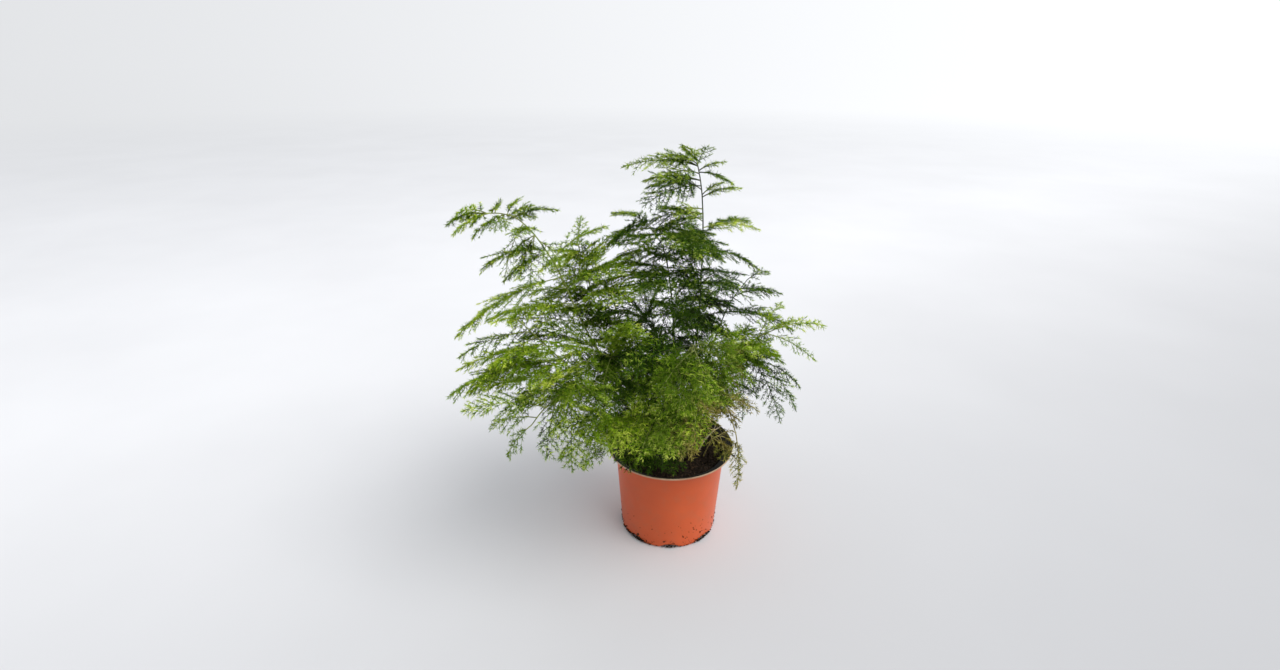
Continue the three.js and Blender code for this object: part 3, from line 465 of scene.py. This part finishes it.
def rib_frames(plan):
    """Points along a spray's rib, with the way ahead, the side and the upper face's normal at each."""
    heading = math.radians(plan["azimuth"])
    flat = np.array([-math.sin(heading), math.cos(heading), 0.0])
    share = np.linspace(0, 1, RIB_STEPS + 1)
    pitch = np.radians(plan["lift"] + (-plan["fall"] - plan["lift"]) * share)
    level = np.cos(pitch)
    along = np.stack([level * math.cos(heading), level * math.sin(heading), np.sin(pitch)], -1)
    roll = math.radians(plan["roll"])
    side = flat * math.cos(roll) + np.cross(along, flat) * math.sin(roll)
    step = along * plan["length"] / RIB_STEPS
    point = plan["start"] + np.concatenate([np.zeros((1, 3)), np.cumsum(step, 0)[:-1]])
    return point, along, side, np.cross(along, side)


def branchlet_share(share):
    """How long a branchlet is at a share of the spray, as a share of the spray's width."""
    return np.where(share < LONGEST_AT, FIRST_LENGTH + RISE_TO_LONGEST * share,
                    1 - FALL_FROM_LONGEST * (share - LONGEST_AT))


def tooth_tips(plan):
    """Where the solid's branchlets and its rib end."""
    draw = random_from(plan["seed"])
    leafy = 1 - PETIOLE_SHARE
    pairs = max(2, int(plan["length"] * leafy / PAIR_PITCH + 0.5))
    point, along, side, normal = rib_frames(plan)
    tips = [point[RIB_STEPS]]
    for i in range(pairs):
        k = int(RIB_STEPS * (PETIOLE_SHARE + leafy * (i + TOOTH_SHARE / 2) / (pairs + 0.5)) + 0.5)
        for hand in (1, -1):
            reach = plan["width"] * float(branchlet_share(i / pairs)) * by_chance(*TOOTH_LENGTH, draw)
            lean = math.radians(FORWARD_ANGLE + LEAN_SPREAD * (draw() - 0.5))
            tips.append(point[k] + side[k] * hand * reach * math.sin(lean)
                        + along[k] * reach * math.cos(lean) - normal[k] * reach * BRANCHLET_SAG)
    return tips


def placed_plan(plan, corners):
    """The variant of a plan that the solid was built with: its tips are corners of the node's mesh."""
    best, fewest = plan, math.inf
    for shrink, tipping, swing in product(SHRINKS, TIPPINGS, SWINGS):
        variant = dict(plan, azimuth=plan["azimuth"] + swing, lift=plan["lift"] + tipping,
                       length=plan["length"] * shrink, width=plan["width"] * shrink)
        tips = tooth_tips(variant)
        missed = sum(corners.find(Vector(tip * MM))[2] > MATCH_WITHIN * MM for tip in tips) / len(tips)
        if missed < MISSES_ALLOWED:
            return variant
        if missed < fewest:
            best, fewest = variant, missed
    return best


# Mesh making

def linked(name, data):
    made = bpy.data.objects.new(name, data)
    bpy.context.scene.collection.objects.link(made)
    return made


def rings(ahead, turn):
    """Circles of radius 1 square to directions, with a point at each turn."""
    helper = np.where(np.abs(ahead[..., 2:]) > 0.9, [1.0, 0, 0], [0, 0, 1.0])
    across = unit(np.cross(ahead, helper))
    up = np.cross(ahead, across)
    return across[..., None, :] * np.cos(turn)[:, None] + up[..., None, :] * np.sin(turn)[:, None]


def grid_faces(rows, columns):
    """Triangles between rows of corners that run round."""
    faces = []
    j = np.arange(columns)
    jn = (j + 1) % columns
    for i in range(rows - 1):
        a, b = i * columns, (i + 1) * columns
        faces += [np.stack([a + j, a + jn, b + jn], -1), np.stack([a + j, b + jn, b + j], -1)]
    return np.concatenate(faces)


class Builder:
    """Gathers corners and triangles, each triangle with a material index, each corner with a tone."""

    def __init__(self):
        self.corners, self.faces, self.slots, self.tones, self.count = [], [], [], [], 0

    def add(self, corners, faces, slot, tone):
        self.corners.append(corners.reshape(-1, 3))
        self.faces.append(faces.reshape(-1, 3) + self.count)
        self.slots.append(np.full(faces.size // 3, slot))
        self.tones.append(np.broadcast_to(tone, corners.shape[:-1]).reshape(-1))
        self.count += corners.size // 3

    def copies(self, corners, one, slot, tone):
        """Many shapes of the same few corners, each with the same triangles."""
        n, each = corners.shape[:2]
        self.add(corners, one[None] + (np.arange(n) * each)[:, None, None], slot, tone)

    def tubes(self, lines, radii, sides, slot, tone):
        """Closed tapered tubes along lines of points, all with the same number of points."""
        n, k, _ = lines.shape
        ring = rings(unit(np.gradient(lines, axis=1)), np.linspace(0, 2 * np.pi, sides, endpoint=False))
        corners = (lines[:, :, None] + ring * radii[:, :, None, None]).reshape(n, k * sides, 3)
        m = np.arange(1, sides - 1)
        top = (k - 1) * sides
        ends = [np.stack([0 * m, m + 1, m], -1), np.stack([top + 0 * m, top + m, top + m + 1], -1)]
        self.copies(corners, np.concatenate([grid_faces(k, sides)] + ends), slot, tone)

    def needles(self, base, direction, length, width, slot, tone):
        """Slim closed three-sided needles."""
        ring = rings(direction, NEEDLE_TURN + np.arange(3) * 2 * np.pi / 3)
        foot = (base - NEEDLE_SUNK * direction)[:, None] + ring * (width / 2)[:, None, None]
        tip = (base + direction * length[:, None])[:, None]
        one = np.array([[0, 1, 3], [1, 2, 3], [2, 0, 3], [0, 2, 1]])
        self.copies(np.concatenate([foot, tip], 1), one, slot, tone[:, None] + NEEDLE_TONES)

    def object(self, name, materials, smooth=False):
        corners = np.concatenate(self.corners) * MM
        faces = np.concatenate(self.faces).astype(np.int32)
        mesh = bpy.data.meshes.new(name)
        mesh.vertices.add(len(corners))
        mesh.vertices.foreach_set("co", corners.astype(np.float32).ravel())
        mesh.loops.add(faces.size)
        mesh.loops.foreach_set("vertex_index", faces.ravel())
        mesh.polygons.add(len(faces))
        mesh.polygons.foreach_set("loop_start", np.arange(0, faces.size, 3, dtype=np.int32))
        mesh.polygons.foreach_set("material_index", np.concatenate(self.slots).astype(np.int32))
        mesh.polygons.foreach_set("use_smooth", np.full(len(faces), smooth))
        tone = mesh.attributes.new("tone", "FLOAT", "POINT")
        tone.data.foreach_set("value", np.concatenate(self.tones).astype(np.float32))
        mesh.update(calc_edges=True)
        mesh.validate()
        for material in materials:
            mesh.materials.append(material)
        return linked(name, mesh)


# Materials

def principled(name, roughness, specular):
    material = bpy.data.materials.new(name)
    material.use_nodes = True
    shader = material.node_tree.nodes["Principled BSDF"]
    shader.inputs["Roughness"].default_value = roughness
    shader.inputs["Specular IOR Level"].default_value = specular
    return material, material.node_tree, shader


def node(tree, kind, **values):
    made = tree.nodes.new(kind)
    for key, value in values.items():
        if key in made.inputs:
            made.inputs[key].default_value = value
        else:
            setattr(made, key, value)
    return made


def ramp(tree, factor, stops):
    made = tree.nodes.new("ShaderNodeValToRGB")
    elements = made.color_ramp.elements
    while len(elements) < len(stops):
        elements.new(0.5)
    for element, (place, colour) in zip(elements, stops):
        element.position = place
        element.color = colour
    tree.links.new(factor, made.inputs["Fac"])
    return made.outputs["Color"]


def colours(tree, factor, *stops):
    """A ramp of sRGB colours, each with its place."""
    return ramp(tree, factor, [(place, linear(*rgb)) for place, rgb in stops])


def mask(tree, factor, start, end, most):
    """What rises from 0 to its most between two values of the factor."""
    return ramp(tree, factor, [(start, (0, 0, 0, 1)), (end, (most, most, most, 1))])


def noise(tree, scale, detail=3.0):
    where = tree.nodes.new("ShaderNodeTexCoord")
    made = node(tree, "ShaderNodeTexNoise", Scale=scale, Detail=detail, Roughness=0.55)
    tree.links.new(where.outputs["Object"], made.inputs["Vector"])
    return made.outputs["Fac"]


def bump(tree, shader, height, strength, distance):
    made = node(tree, "ShaderNodeBump", Strength=strength, Distance=distance)
    tree.links.new(height, made.inputs["Height"])
    tree.links.new(made.outputs["Normal"], shader.inputs["Normal"])


def mixed(tree, factor, a, b):
    made = node(tree, "ShaderNodeMix", data_type="RGBA")
    for value, socket in ((factor, made.inputs[0]), (a, made.inputs[6]), (b, made.inputs[7])):
        if isinstance(value, tuple):
            socket.default_value = value
        else:
            tree.links.new(value, socket)
    return made.outputs[2]


def grained(name, surface, grain, stops, relief, detail=3.0):
    """A material with fine drifts of colour and a low relief: its grain, strength and distance."""
    material, tree, shader = principled(name, *surface)
    tree.links.new(colours(tree, noise(tree, grain, detail), *stops), shader.inputs["Base Color"])
    bump(tree, shader, noise(tree, relief[0], detail), *relief[1:])
    return material


NEEDLE_COLOURS = {  # at the stops along a tone from 0 to 1, and that of the drifting patches
    "dark": [(5, 16, 0), (48, 82, 6), (114, 150, 30), (184, 204, 84), (60, 92, 16)],
    "mid": [(8, 24, 0), (78, 116, 10), (152, 184, 42), (218, 230, 110), (90, 122, 20)],
    "fresh": [(12, 30, 0), (94, 132, 10), (166, 196, 38), (222, 232, 100), (106, 142, 22)],
    "olive": [(26, 30, 4), (96, 106, 30), (160, 160, 70), (206, 188, 116), (128, 116, 50)],
}
NEEDLE_STOPS = (0.0, 0.42, 0.75, 1.0)
TWIG_COLOURS = {  # old and young
    "dark": [(36, 42, 22), (62, 74, 36)],
    "mid": [(84, 92, 44), (140, 152, 74)],
    "fresh": [(92, 100, 48), (152, 168, 78)],
    "olive": [(114, 102, 56), (170, 160, 98)],
}
TONE_OF = {"dark": 0.36, "mid": 0.42, "fresh": 0.46, "olive": 0.45}


def foliage_material(tint):
    """Needles: their colour runs along a ramp by the tone stored in the mesh, with drifting patches."""
    material, tree, shader = principled("needles_" + tint, 0.75, 0.07)
    *along_tone, patch = NEEDLE_COLOURS[tint]
    tone = node(tree, "ShaderNodeAttribute", attribute_name="tone")
    base = colours(tree, tone.outputs["Fac"], *zip(NEEDLE_STOPS, along_tone))
    drift = mask(tree, noise(tree, 38.0), 0.42, 0.62, 0.7)
    tree.links.new(mixed(tree, drift, base, linear(*patch)), shader.inputs["Base Color"])
    return material


def twig_material(tint):
    stops = zip((0.35, 0.65), TWIG_COLOURS[tint])
    return grained("twigs_" + tint, (0.65, 0.2), 260.0, stops, (1400.0, 0.3, 0.0002))


GREENS = {tint: foliage_material(tint) for tint in NEEDLE_COLOURS}
TWIGS = {tint: twig_material(tint) for tint in TWIG_COLOURS}


# Foliage

def along_lines(lines, share):
    """Points on lines at a share of each line's points, and the way ahead there."""
    place = share * (lines.shape[1] - 1)
    i = np.minimum(place.astype(int), lines.shape[1] - 2)
    w = (place - i)[:, None]
    rows = np.arange(len(lines))
    ahead = lines[rows, i + 1] - lines[rows, i]
    return lines[rows, i] + ahead * w, unit(ahead)


def shade(points):
    """Painted shade and light: how much darker foliage is deep inside the plant, where it gets little light,
    and lighter at the top.
    """
    depth = np.linalg.norm((points - SHADE_CENTRE) / SHADE_REACH, axis=-1)
    high = np.clip((points[..., 2] - SHADE_TOP) / 60, 0, 1)
    return np.clip(0.95 * (depth - 0.72), -0.42, 0.06) + 0.16 * high


def needles_on(build, rng, lines, lengths, normals, tone, look):
    """Tufts of needles along twigs, swept forward, mostly in the spray's plane, closing at the tip."""
    counts = np.maximum(3, (lengths * NEEDLES_PER_MM * look["needles"]).astype(int))
    row = np.repeat(np.arange(len(lines)), counts)
    raw = rng.random(len(row)) ** 0.94
    nodes = np.maximum(1, np.round(lengths[row] / NEEDLE_NODE))
    share = np.clip((np.round(raw * nodes) + rng.normal(0, 0.13, len(row))) / nodes, 0.02, 1.0)
    base, ahead = along_lines(lines[row], share)
    side = unit(np.cross(normals[row], ahead))
    up = np.cross(ahead, side)
    round_twig = np.where(rng.random(len(row)) < 0.5, 0.0, np.pi) + rng.normal(0, NEEDLE_STRAY, len(row))
    opening = np.radians(rng.uniform(*NEEDLE_OPENING, len(row))) * (1 - 0.5 * share**3)
    outward = side * np.cos(round_twig)[:, None] + up * np.sin(round_twig)[:, None]
    direction = unit(ahead * np.cos(opening)[:, None] + outward * np.sin(opening)[:, None])
    length = rng.uniform(*NEEDLE_LENGTH, len(row)) * (1 - 0.38 * share**2)
    width = NEEDLE_WIDTH * look["wide"] * rng.uniform(*NEEDLE_WIDTHS, len(row))
    tuft = (np.round(raw * nodes).astype(int) * 61 + row * 7) % TUFT_TONES
    own = (tone[row] + 0.24 * (share - 0.5) + rng.normal(0, TUFT_SPREAD, TUFT_TONES)[tuft]
           + rng.normal(0, 0.12, len(row)) + shade(base))
    build.needles(base, direction, length, width, look["slot"], own)


def tints_of(stem):
    """The tints of a stem's material slots, its own first."""
    return [stem["tint"]] + sorted(set(GREENS) - {stem["tint"]})


def look_of(stem, plan, number, rng):
    """The slot, tone, needle share and needle width of one spray."""
    shift = stem.get("shift", 0) + float(np.clip(rng.normal(0, SHIFT_SPREAD), *SHIFT_RANGE))
    if "core" in plan:
        return dict(slot=0, tone=CORE["tone"] + CORE["shift"] * shift, needles=CORE["needles"],
                    wide=CORE["wide"])
    odd = {n: look for *look, numbers in stem.get("odd", []) for n in numbers}
    tint, lighter, share = odd.get(number, (stem["tint"], 0, 1))
    slot = 2 * tints_of(stem).index(tint)
    return dict(slot=slot, tone=TONE_OF[tint] + lighter + shift, needles=share, wide=1.0)


def grow_spray(build, rng, plan, look):
    tone, twigs = look["tone"], look["slot"] + 1
    point, along, side, normal = rib_frames(plan)
    radii = np.linspace(*RIB_RADII, RIB_STEPS + 1)
    pick = np.arange(0, RIB_STEPS + 1, RIB_STRIDE)
    build.tubes(point[None, pick], radii[None, pick], RIB_SIDES, twigs, tone)
    leafy = plan["length"] * (1 - PETIOLE_SHARE)
    count = max(BRANCHLET_FEWEST, int(leafy / BRANCHLET_PITCH))
    u = (np.arange(count) + rng.uniform(-BRANCHLET_STRAY, BRANCHLET_STRAY, count) + 0.5) / count
    hand = np.where(np.arange(count) % 2, 1.0, -1.0)
    share = PETIOLE_SHARE + (1 - PETIOLE_SHARE) * BRANCHLET_END * u
    k = np.minimum((share * RIB_STEPS).round().astype(int), RIB_STEPS)
    close = np.clip((1 - u) / BLUNT_TIP[0], BLUNT_TIP[1], 1)
    reach = plan["width"] * branchlet_share(u) * rng.uniform(*BRANCHLET_REACH, count) * close
    lean = np.radians(FORWARD_ANGLE + rng.normal(0, BRANCHLET_LEAN, count))
    tilt = rng.normal(0, BRANCHLET_TILT, count)
    s = np.linspace(0, 1, BRANCHLET_POINTS)[None, :, None]
    out = side[k] * (hand * reach * np.sin(lean))[:, None]
    ahead = along[k] * (reach * np.cos(lean))[:, None]
    lines = (point[k][:, None] + out[:, None] * (s - 0.05 * s**2) + ahead[:, None] * (0.94 * s + 0.1 * s**2)
             + normal[k][:, None] * (reach * tilt)[:, None, None] * s
             - normal[k][:, None] * (reach * BRANCHLET_SAG)[:, None, None] * s**2)
    thin = np.linspace(*BRANCHLET_RADII, BRANCHLET_POINTS)[None] * np.ones((count, 1))
    build.tubes(lines, thin, BRANCHLET_SIDES, twigs, tone)
    tones = tone + rng.normal(0, 0.1, count) + 0.12 * u
    needles_on(build, rng, lines, reach, normal[k], tones, look)
    rib = point[None, int(PETIOLE_SHARE * RIB_STEPS):]
    needles_on(build, rng, rib, np.array([leafy]), normal[:1], np.array([tone + 0.08]), look)


def grow_stem(stem, plans):
    build = Builder()
    rng = np.random.default_rng(stem["seed"])
    steps = STEM_STEPS * len(stem["route"])
    share = np.linspace(0, 1, steps + 1)
    straight = coarse_line(stem)
    straight = np.array([point_along(straight, t) for t in share])
    line = straight * STEM_COARSE + stem_line(stem["route"], steps) * (1 - STEM_COARSE)
    radii = STEM_SLIM * (FOOT_RADIUS + (TIP_RADIUS - FOOT_RADIUS) * share)
    build.tubes(line[None], radii[None], STEM_SIDES, 1, 0.5)
    for number, plan in enumerate(plans):
        grow_spray(build, rng, plan, look_of(stem, plan, number, rng))
    materials = [material for tint in tints_of(stem) for material in (GREENS[tint], TWIGS[tint])]
    made = build.object(stem["name"] + "_fine", materials)
    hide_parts(stem["name"])
    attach(made, "root")


def corners_of(mesh):
    """A mesh's corners, to find the nearest one to a point."""
    corners = KDTree(len(mesh.vertices))
    for i, corner in enumerate(mesh.vertices):
        corners.insert(corner.co, i)
    corners.balance()
    return corners


for stem in STEMS:
    corners = corners_of(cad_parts[stem["name"]].data)
    grow_stem(stem, [placed_plan(plan, corners) for plan in spray_plans(stem)] + inner_plans(stem))


# Pot, soil and crumbs

def drain_height(angle):
    """How high the drain notches reach at an angle round the pot; the first is at the front."""
    pitch = 2 * np.pi / DRAINS
    off = (angle + np.pi / 2 + pitch / 2) % pitch - pitch / 2
    arch = ((DRAIN_WIDTH / 2) ** 2 + DRAIN_RISE**2) / (2 * DRAIN_RISE)
    return np.maximum(0, np.sqrt(np.maximum(0, arch**2 - (off * DRAIN_RADIUS) ** 2)) - arch + DRAIN_RISE)


def make_pot():
    angle = np.linspace(0, 2 * np.pi, POT_SIDES, endpoint=False)
    shell = np.array(POT_SHELL, float)
    radius = np.maximum(shell[:, :1], HUB) * np.ones((1, POT_SIDES))
    height = shell[:, 1:] * np.ones((1, POT_SIDES))
    beyond, below = FOOT_BAND
    notch = drain_height(angle)[None] * ((shell[:, :1] > beyond) & (shell[:, 1:] < below))
    height = notch + height * (1 - notch / below)
    corners = np.stack([radius * np.cos(angle), radius * np.sin(angle), height], -1)
    faces = grid_faces(len(shell), POT_SIDES)
    row = faces.min(1) // POT_SIDES
    kind = np.where(row < POT_LIP[0], 0, np.where(row < POT_LIP[1], 2, 1))
    build = Builder()
    for slot in range(3):
        build.add(corners, faces[kind == slot], slot, 0.5)
    # the third plastic is the rim's pale edge: wear and a painted highlight
    plastics = [orange_plastic(), grained("black_plastic", *BLACK), grained("worn_and_highlit_plastic", *WORN_AND_HIGHLIT)]
    made = build.object("pot_fine", plastics, smooth=True)
    weld(made)
    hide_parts("pot")
    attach(made, "root")


def weld(made):
    """Joins corners in the same place, so that no face has zero width."""
    shape = bmesh.new()
    shape.from_mesh(made.data)
    bmesh.ops.remove_doubles(shape, verts=shape.verts, dist=0.03 * MM)
    bmesh.ops.dissolve_degenerate(shape, edges=shape.edges, dist=0.001 * MM)
    bmesh.ops.recalc_face_normals(shape, faces=shape.faces)
    shape.to_mesh(made.data)
    shape.free()


def lumps(x, y):
    """Height of the soil's crumbly top, in octaves, without its crown."""
    height = 1.1 * (np.sin(0.31 * x + 1) * np.cos(0.27 * y) + np.sin(0.17 * x - 0.23 * y))
    height += 0.5 * np.sin(0.9 * x + 0.5 * y) * np.cos(0.8 * y - 0.3 * x)
    return height + 0.35 * np.sin(2.1 * x + 1.2) * np.sin(1.9 * y + 0.4 * x)


def crumbs(build, rng, x, y, z, sizes):
    """Small angular lumps: octahedra pulled out of shape."""
    base = np.array([[1, 0, 0], [0, 1, 0], [-1, 0, 0], [0, -1, 0], [0, 0, 1], [0, 0, -1]], float)
    one = np.array([[0, 1, 4], [1, 2, 4], [2, 3, 4], [3, 0, 4], [1, 0, 5], [2, 1, 5], [3, 2, 5], [0, 3, 5]])
    n = len(sizes)
    shape = base[None] * rng.uniform(0.55, 1.2, (n, 6, 1)) * rng.uniform(0.6, 1.3, (n, 1, 3))
    turn = rng.uniform(0, 2 * np.pi, n)
    c, d = np.cos(turn)[:, None], np.sin(turn)[:, None]
    across, ahead = shape[..., 0], shape[..., 1]
    shape = np.stack([across * c - ahead * d, across * d + ahead * c, shape[..., 2]], -1)
    corners = np.stack([x, y, z], -1)[:, None] + shape * sizes[:, None, None]
    build.copies(corners, one, 0, rng.random((n, 1)))


def make_soil():
    rng = np.random.default_rng(404)
    angle = np.linspace(0, 2 * np.pi, SOIL_SIDES, endpoint=False)
    flat = 0 * angle
    corners = [np.stack([r * np.cos(angle), r * np.sin(angle), z + flat], -1) for r, z in SOIL_WALL]
    for i in range(SOIL_RINGS, 0, -1):
        share = i / SOIL_RINGS
        x, y = SOIL_EDGE * share * np.cos(angle), SOIL_EDGE * share * np.sin(angle)
        fine = rng.normal(0, 0.28, SOIL_SIDES) * (share > 0.06)
        z = SOIL_EDGE_Z + SOIL_CROWN * (1 - share**2) + lumps(x, y) * min(1, 6 * (1 - share) + 0.4) + fine
        corners.append(np.stack([x, y, z], -1))
    top = flat + SOIL_EDGE_Z + SOIL_CROWN
    corners.append(np.stack([HUB * np.cos(angle), HUB * np.sin(angle), top], -1))
    corners = [corners[0] * [FOOT_TO_HUB, FOOT_TO_HUB, 1]] + corners
    build = Builder()
    build.add(np.stack(corners), grid_faces(len(corners), SOIL_SIDES), 0, 0.5)
    r = SOIL_EDGE * np.sqrt(rng.random(SOIL_CRUMBS)) * 0.985
    a = rng.uniform(0, 2 * np.pi, SOIL_CRUMBS)
    x, y = r * np.cos(a), r * np.sin(a)
    size = rng.uniform(0.5, 1.5, SOIL_CRUMBS) ** 1.5
    z = SOIL_EDGE_Z + SOIL_CROWN * (1 - (r / SOIL_EDGE) ** 2) + lumps(x, y) + 0.1 * size
    crumbs(build, rng, x, y, z, size)
    made = build.object("soil_fine", [grained("peat", *PEAT)])
    weld(made)
    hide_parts("soil")
    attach(made, "root")


def make_dry_stem():
    build = Builder()
    line = stem_line(DRY_STEM, DRY_STEPS)
    kink = np.random.default_rng(9).normal(0, 0.1, line.shape)
    build.tubes(line[None] + kink, np.linspace(*DRY_RADII, DRY_STEPS + 1)[None], 8, 0, 0.5)
    start, end = np.array(DRY_TWIG, float)
    steps = np.linspace(0, 1, DRY_TWIG_STEPS + 1)
    twig = start + (end - start) * steps[:, None] + DRY_TWIG_BOW * np.sin(np.pi * steps[:, None])
    build.tubes(twig[None], np.linspace(*DRY_TWIG_RADII, DRY_TWIG_STEPS + 1)[None], 7, 0, 0.5)
    made = build.object("dry_stem_fine", [grained("straw", *STRAW)], smooth=True)
    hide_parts("dry_stem")
    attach(made, "root")


def make_pot_crumbs():
    """Specks of soil that stick to the pot's lower wall, thickest along its bottom edge and in clusters."""
    rng = np.random.default_rng(77)
    a = rng.uniform(0, 2 * np.pi, POT_CRUMBS)
    z = 1.6 + 30 * rng.random(POT_CRUMBS) ** 3.2
    size = rng.uniform(0.25, 0.85, POT_CRUMBS) * np.where(rng.random(POT_CRUMBS) < 0.08, 1.8, 1)
    for angle, spread, count in CRUMB_CLUSTERS:
        a = np.append(a, np.radians(rng.normal(angle, spread, count)))
        z = np.append(z, 0.8 + np.abs(rng.normal(0, 2.2, count)))
        size = np.append(size, rng.uniform(0.4, 1.25, count))
    r = WALL_FOOT + WALL_SLOPE * z + 0.25 * size
    build = Builder()
    crumbs(build, rng, r * np.cos(a), r * np.sin(a), np.maximum(z, 1.6 * size), size)
    made = build.object("pot_crumbs", [grained("peat", *PEAT)])
    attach(made, "root")


def orange_plastic():
    material, tree, shader = principled("orange_plastic", 0.42, 0.45)
    colour = colours(tree, noise(tree, 16.0), (0.3, (196, 80, 30)), (0.7, (210, 90, 38)))
    dust = mask(tree, noise(tree, 90.0, 6.0), 0.5, 0.75, 0.35)
    tree.links.new(mixed(tree, dust, colour, linear(178, 96, 58)), shader.inputs["Base Color"])
    bump(tree, shader, noise(tree, 700.0), 0.08, 0.0003)
    return material


# Roughness and specular, grain, colours with their places, the relief, and for peat the detail of both
BLACK = ((0.6, 0.18), 30.0, [(0.3, (22, 22, 17)), (0.7, (34, 33, 25))], (600.0, 0.08, 0.0003))
# The pale edge of the rim is wear and a painted highlight
WORN_AND_HIGHLIT = ((0.5, 0.4), 60.0, [(0.35, (160, 120, 88)), (0.65, (196, 172, 142))], (700.0, 0.1, 0.0003))
PEAT = ((0.95, 0.15), 420.0, [(0.3, (20, 15, 11)), (0.55, (40, 31, 23)), (0.72, (84, 66, 48))],
        (1500.0, 0.8, 0.0005), 5.0)
STRAW = ((0.75, 0.3), 300.0, [(0.3, (150, 136, 112)), (0.7, (196, 184, 158))], (1800.0, 0.4, 0.0002))

make_pot()
make_soil()
make_dry_stem()
make_pot_crumbs()


# Camera, floor and light

def add_camera():
    data = bpy.data.cameras.new("camera")
    data.lens = CAMERA_LENS
    data.sensor_width = 36.0
    data.clip_start = 0.01
    camera = linked("camera", data)
    right = CAMERA_FORWARD.cross(CAMERA_UP)
    turn = Matrix((right, CAMERA_UP, -CAMERA_FORWARD)).transposed().to_4x4()
    camera.matrix_world = Matrix.Translation(CAMERA_AT) @ turn
    bpy.context.scene.camera = camera


def add_key_light():
    data = bpy.data.lights.new("key", "AREA")
    data.size = 5.0
    data.energy = 330
    data.color = (1.0, 0.985, 0.96)
    light = linked("key", data)
    light.location = KEY_AT
    light.rotation_euler = (Vector(KEY_TARGET) - Vector(KEY_AT)).to_track_quat("-Z", "Y").to_euler()


def map_range(tree, value, span, result, kind="LINEAR"):
    """What goes from one result to the other while a value crosses its span."""
    made = node(tree, "ShaderNodeMapRange", interpolation_type=kind,
                **{"From Min": span[0], "From Max": span[1], "To Min": result[0], "To Max": result[1]})
    tree.links.new(value, made.inputs["Value"])
    return made.outputs["Result"]


def vector_math(tree, operation, vector):
    made = node(tree, "ShaderNodeVectorMath", operation=operation)
    tree.links.new(vector, made.inputs[0])
    return made


def glow(tree, direction):
    """How bright it is all round, by direction: most at the back right, least at the front left."""
    split = tree.nodes.new("ShaderNodeSeparateXYZ")
    tree.links.new(direction, split.inputs[0])
    both = node(tree, "ShaderNodeMath", operation="MULTIPLY")
    for i, (axis, result) in enumerate((("Y", GLOW_FRONT_TO_BACK), ("X", GLOW_LEFT_TO_RIGHT))):
        tree.links.new(map_range(tree, split.outputs[axis], GLOW_SPAN, result), both.inputs[i])
    return both.outputs[0]


def add_world():
    world = bpy.data.worlds.new("studio")
    bpy.context.scene.world = world
    world.use_nodes = True
    tree = world.node_tree
    where = tree.nodes.new("ShaderNodeTexCoord")
    back = tree.nodes["Background"]
    back.inputs["Color"].default_value = GLOW_COLOUR
    tree.links.new(glow(tree, where.outputs["Generated"]), back.inputs["Strength"])


def add_stage():
    """A pale sheet with painted shade, a little greyer to the front right, that far off fades into a glow
    like the surroundings.
    """
    material, tree, shader = principled("floor", 0.85, 0.1)
    cloth = colours(tree, noise(tree, 2.5), (0.3, (230, 231, 234)), (0.7, (236, 237, 240)))
    place = tree.nodes.new("ShaderNodeTexCoord").outputs["Object"]
    toward = vector_math(tree, "DOT_PRODUCT", place)
    toward.inputs[1].default_value = FLOOR_LIGHT_TOWARD
    # painted shade: the floor greys to the front right
    grey = map_range(tree, toward.outputs["Value"], FLOOR_SPAN, FLOOR_SHADE, "SMOOTHSTEP")
    tree.links.new(mixed(tree, grey, cloth, linear(158, 159, 162)), shader.inputs["Base Color"])
    # far off the floor glows as bright as the surroundings, though it is no lamp
    far = node(tree, "ShaderNodeEmission", Color=GLOW_COLOUR)
    away = vector_math(tree, "NORMALIZE", place)
    tree.links.new(glow(tree, away.outputs["Vector"]), far.inputs["Strength"])
    distance = vector_math(tree, "LENGTH", place)
    fade = map_range(tree, distance.outputs["Value"], FLOOR_FADE, (0.0, 1.0), "SMOOTHSTEP")
    blend = tree.nodes.new("ShaderNodeMixShader")
    for i, output in enumerate((fade, shader.outputs[0], far.outputs[0])):
        tree.links.new(output, blend.inputs[i])
    tree.links.new(blend.outputs[0], tree.nodes["Material Output"].inputs["Surface"])
    bpy.ops.mesh.primitive_circle_add(vertices=96, radius=30.0, fill_type="NGON", location=(0, 0, 0))
    floor = bpy.context.object
    floor.name = "floor"
    floor.data.materials.append(material)


add_camera()
add_world()
add_stage()
add_key_light()
bpy.context.scene.view_settings.view_transform = "Standard"
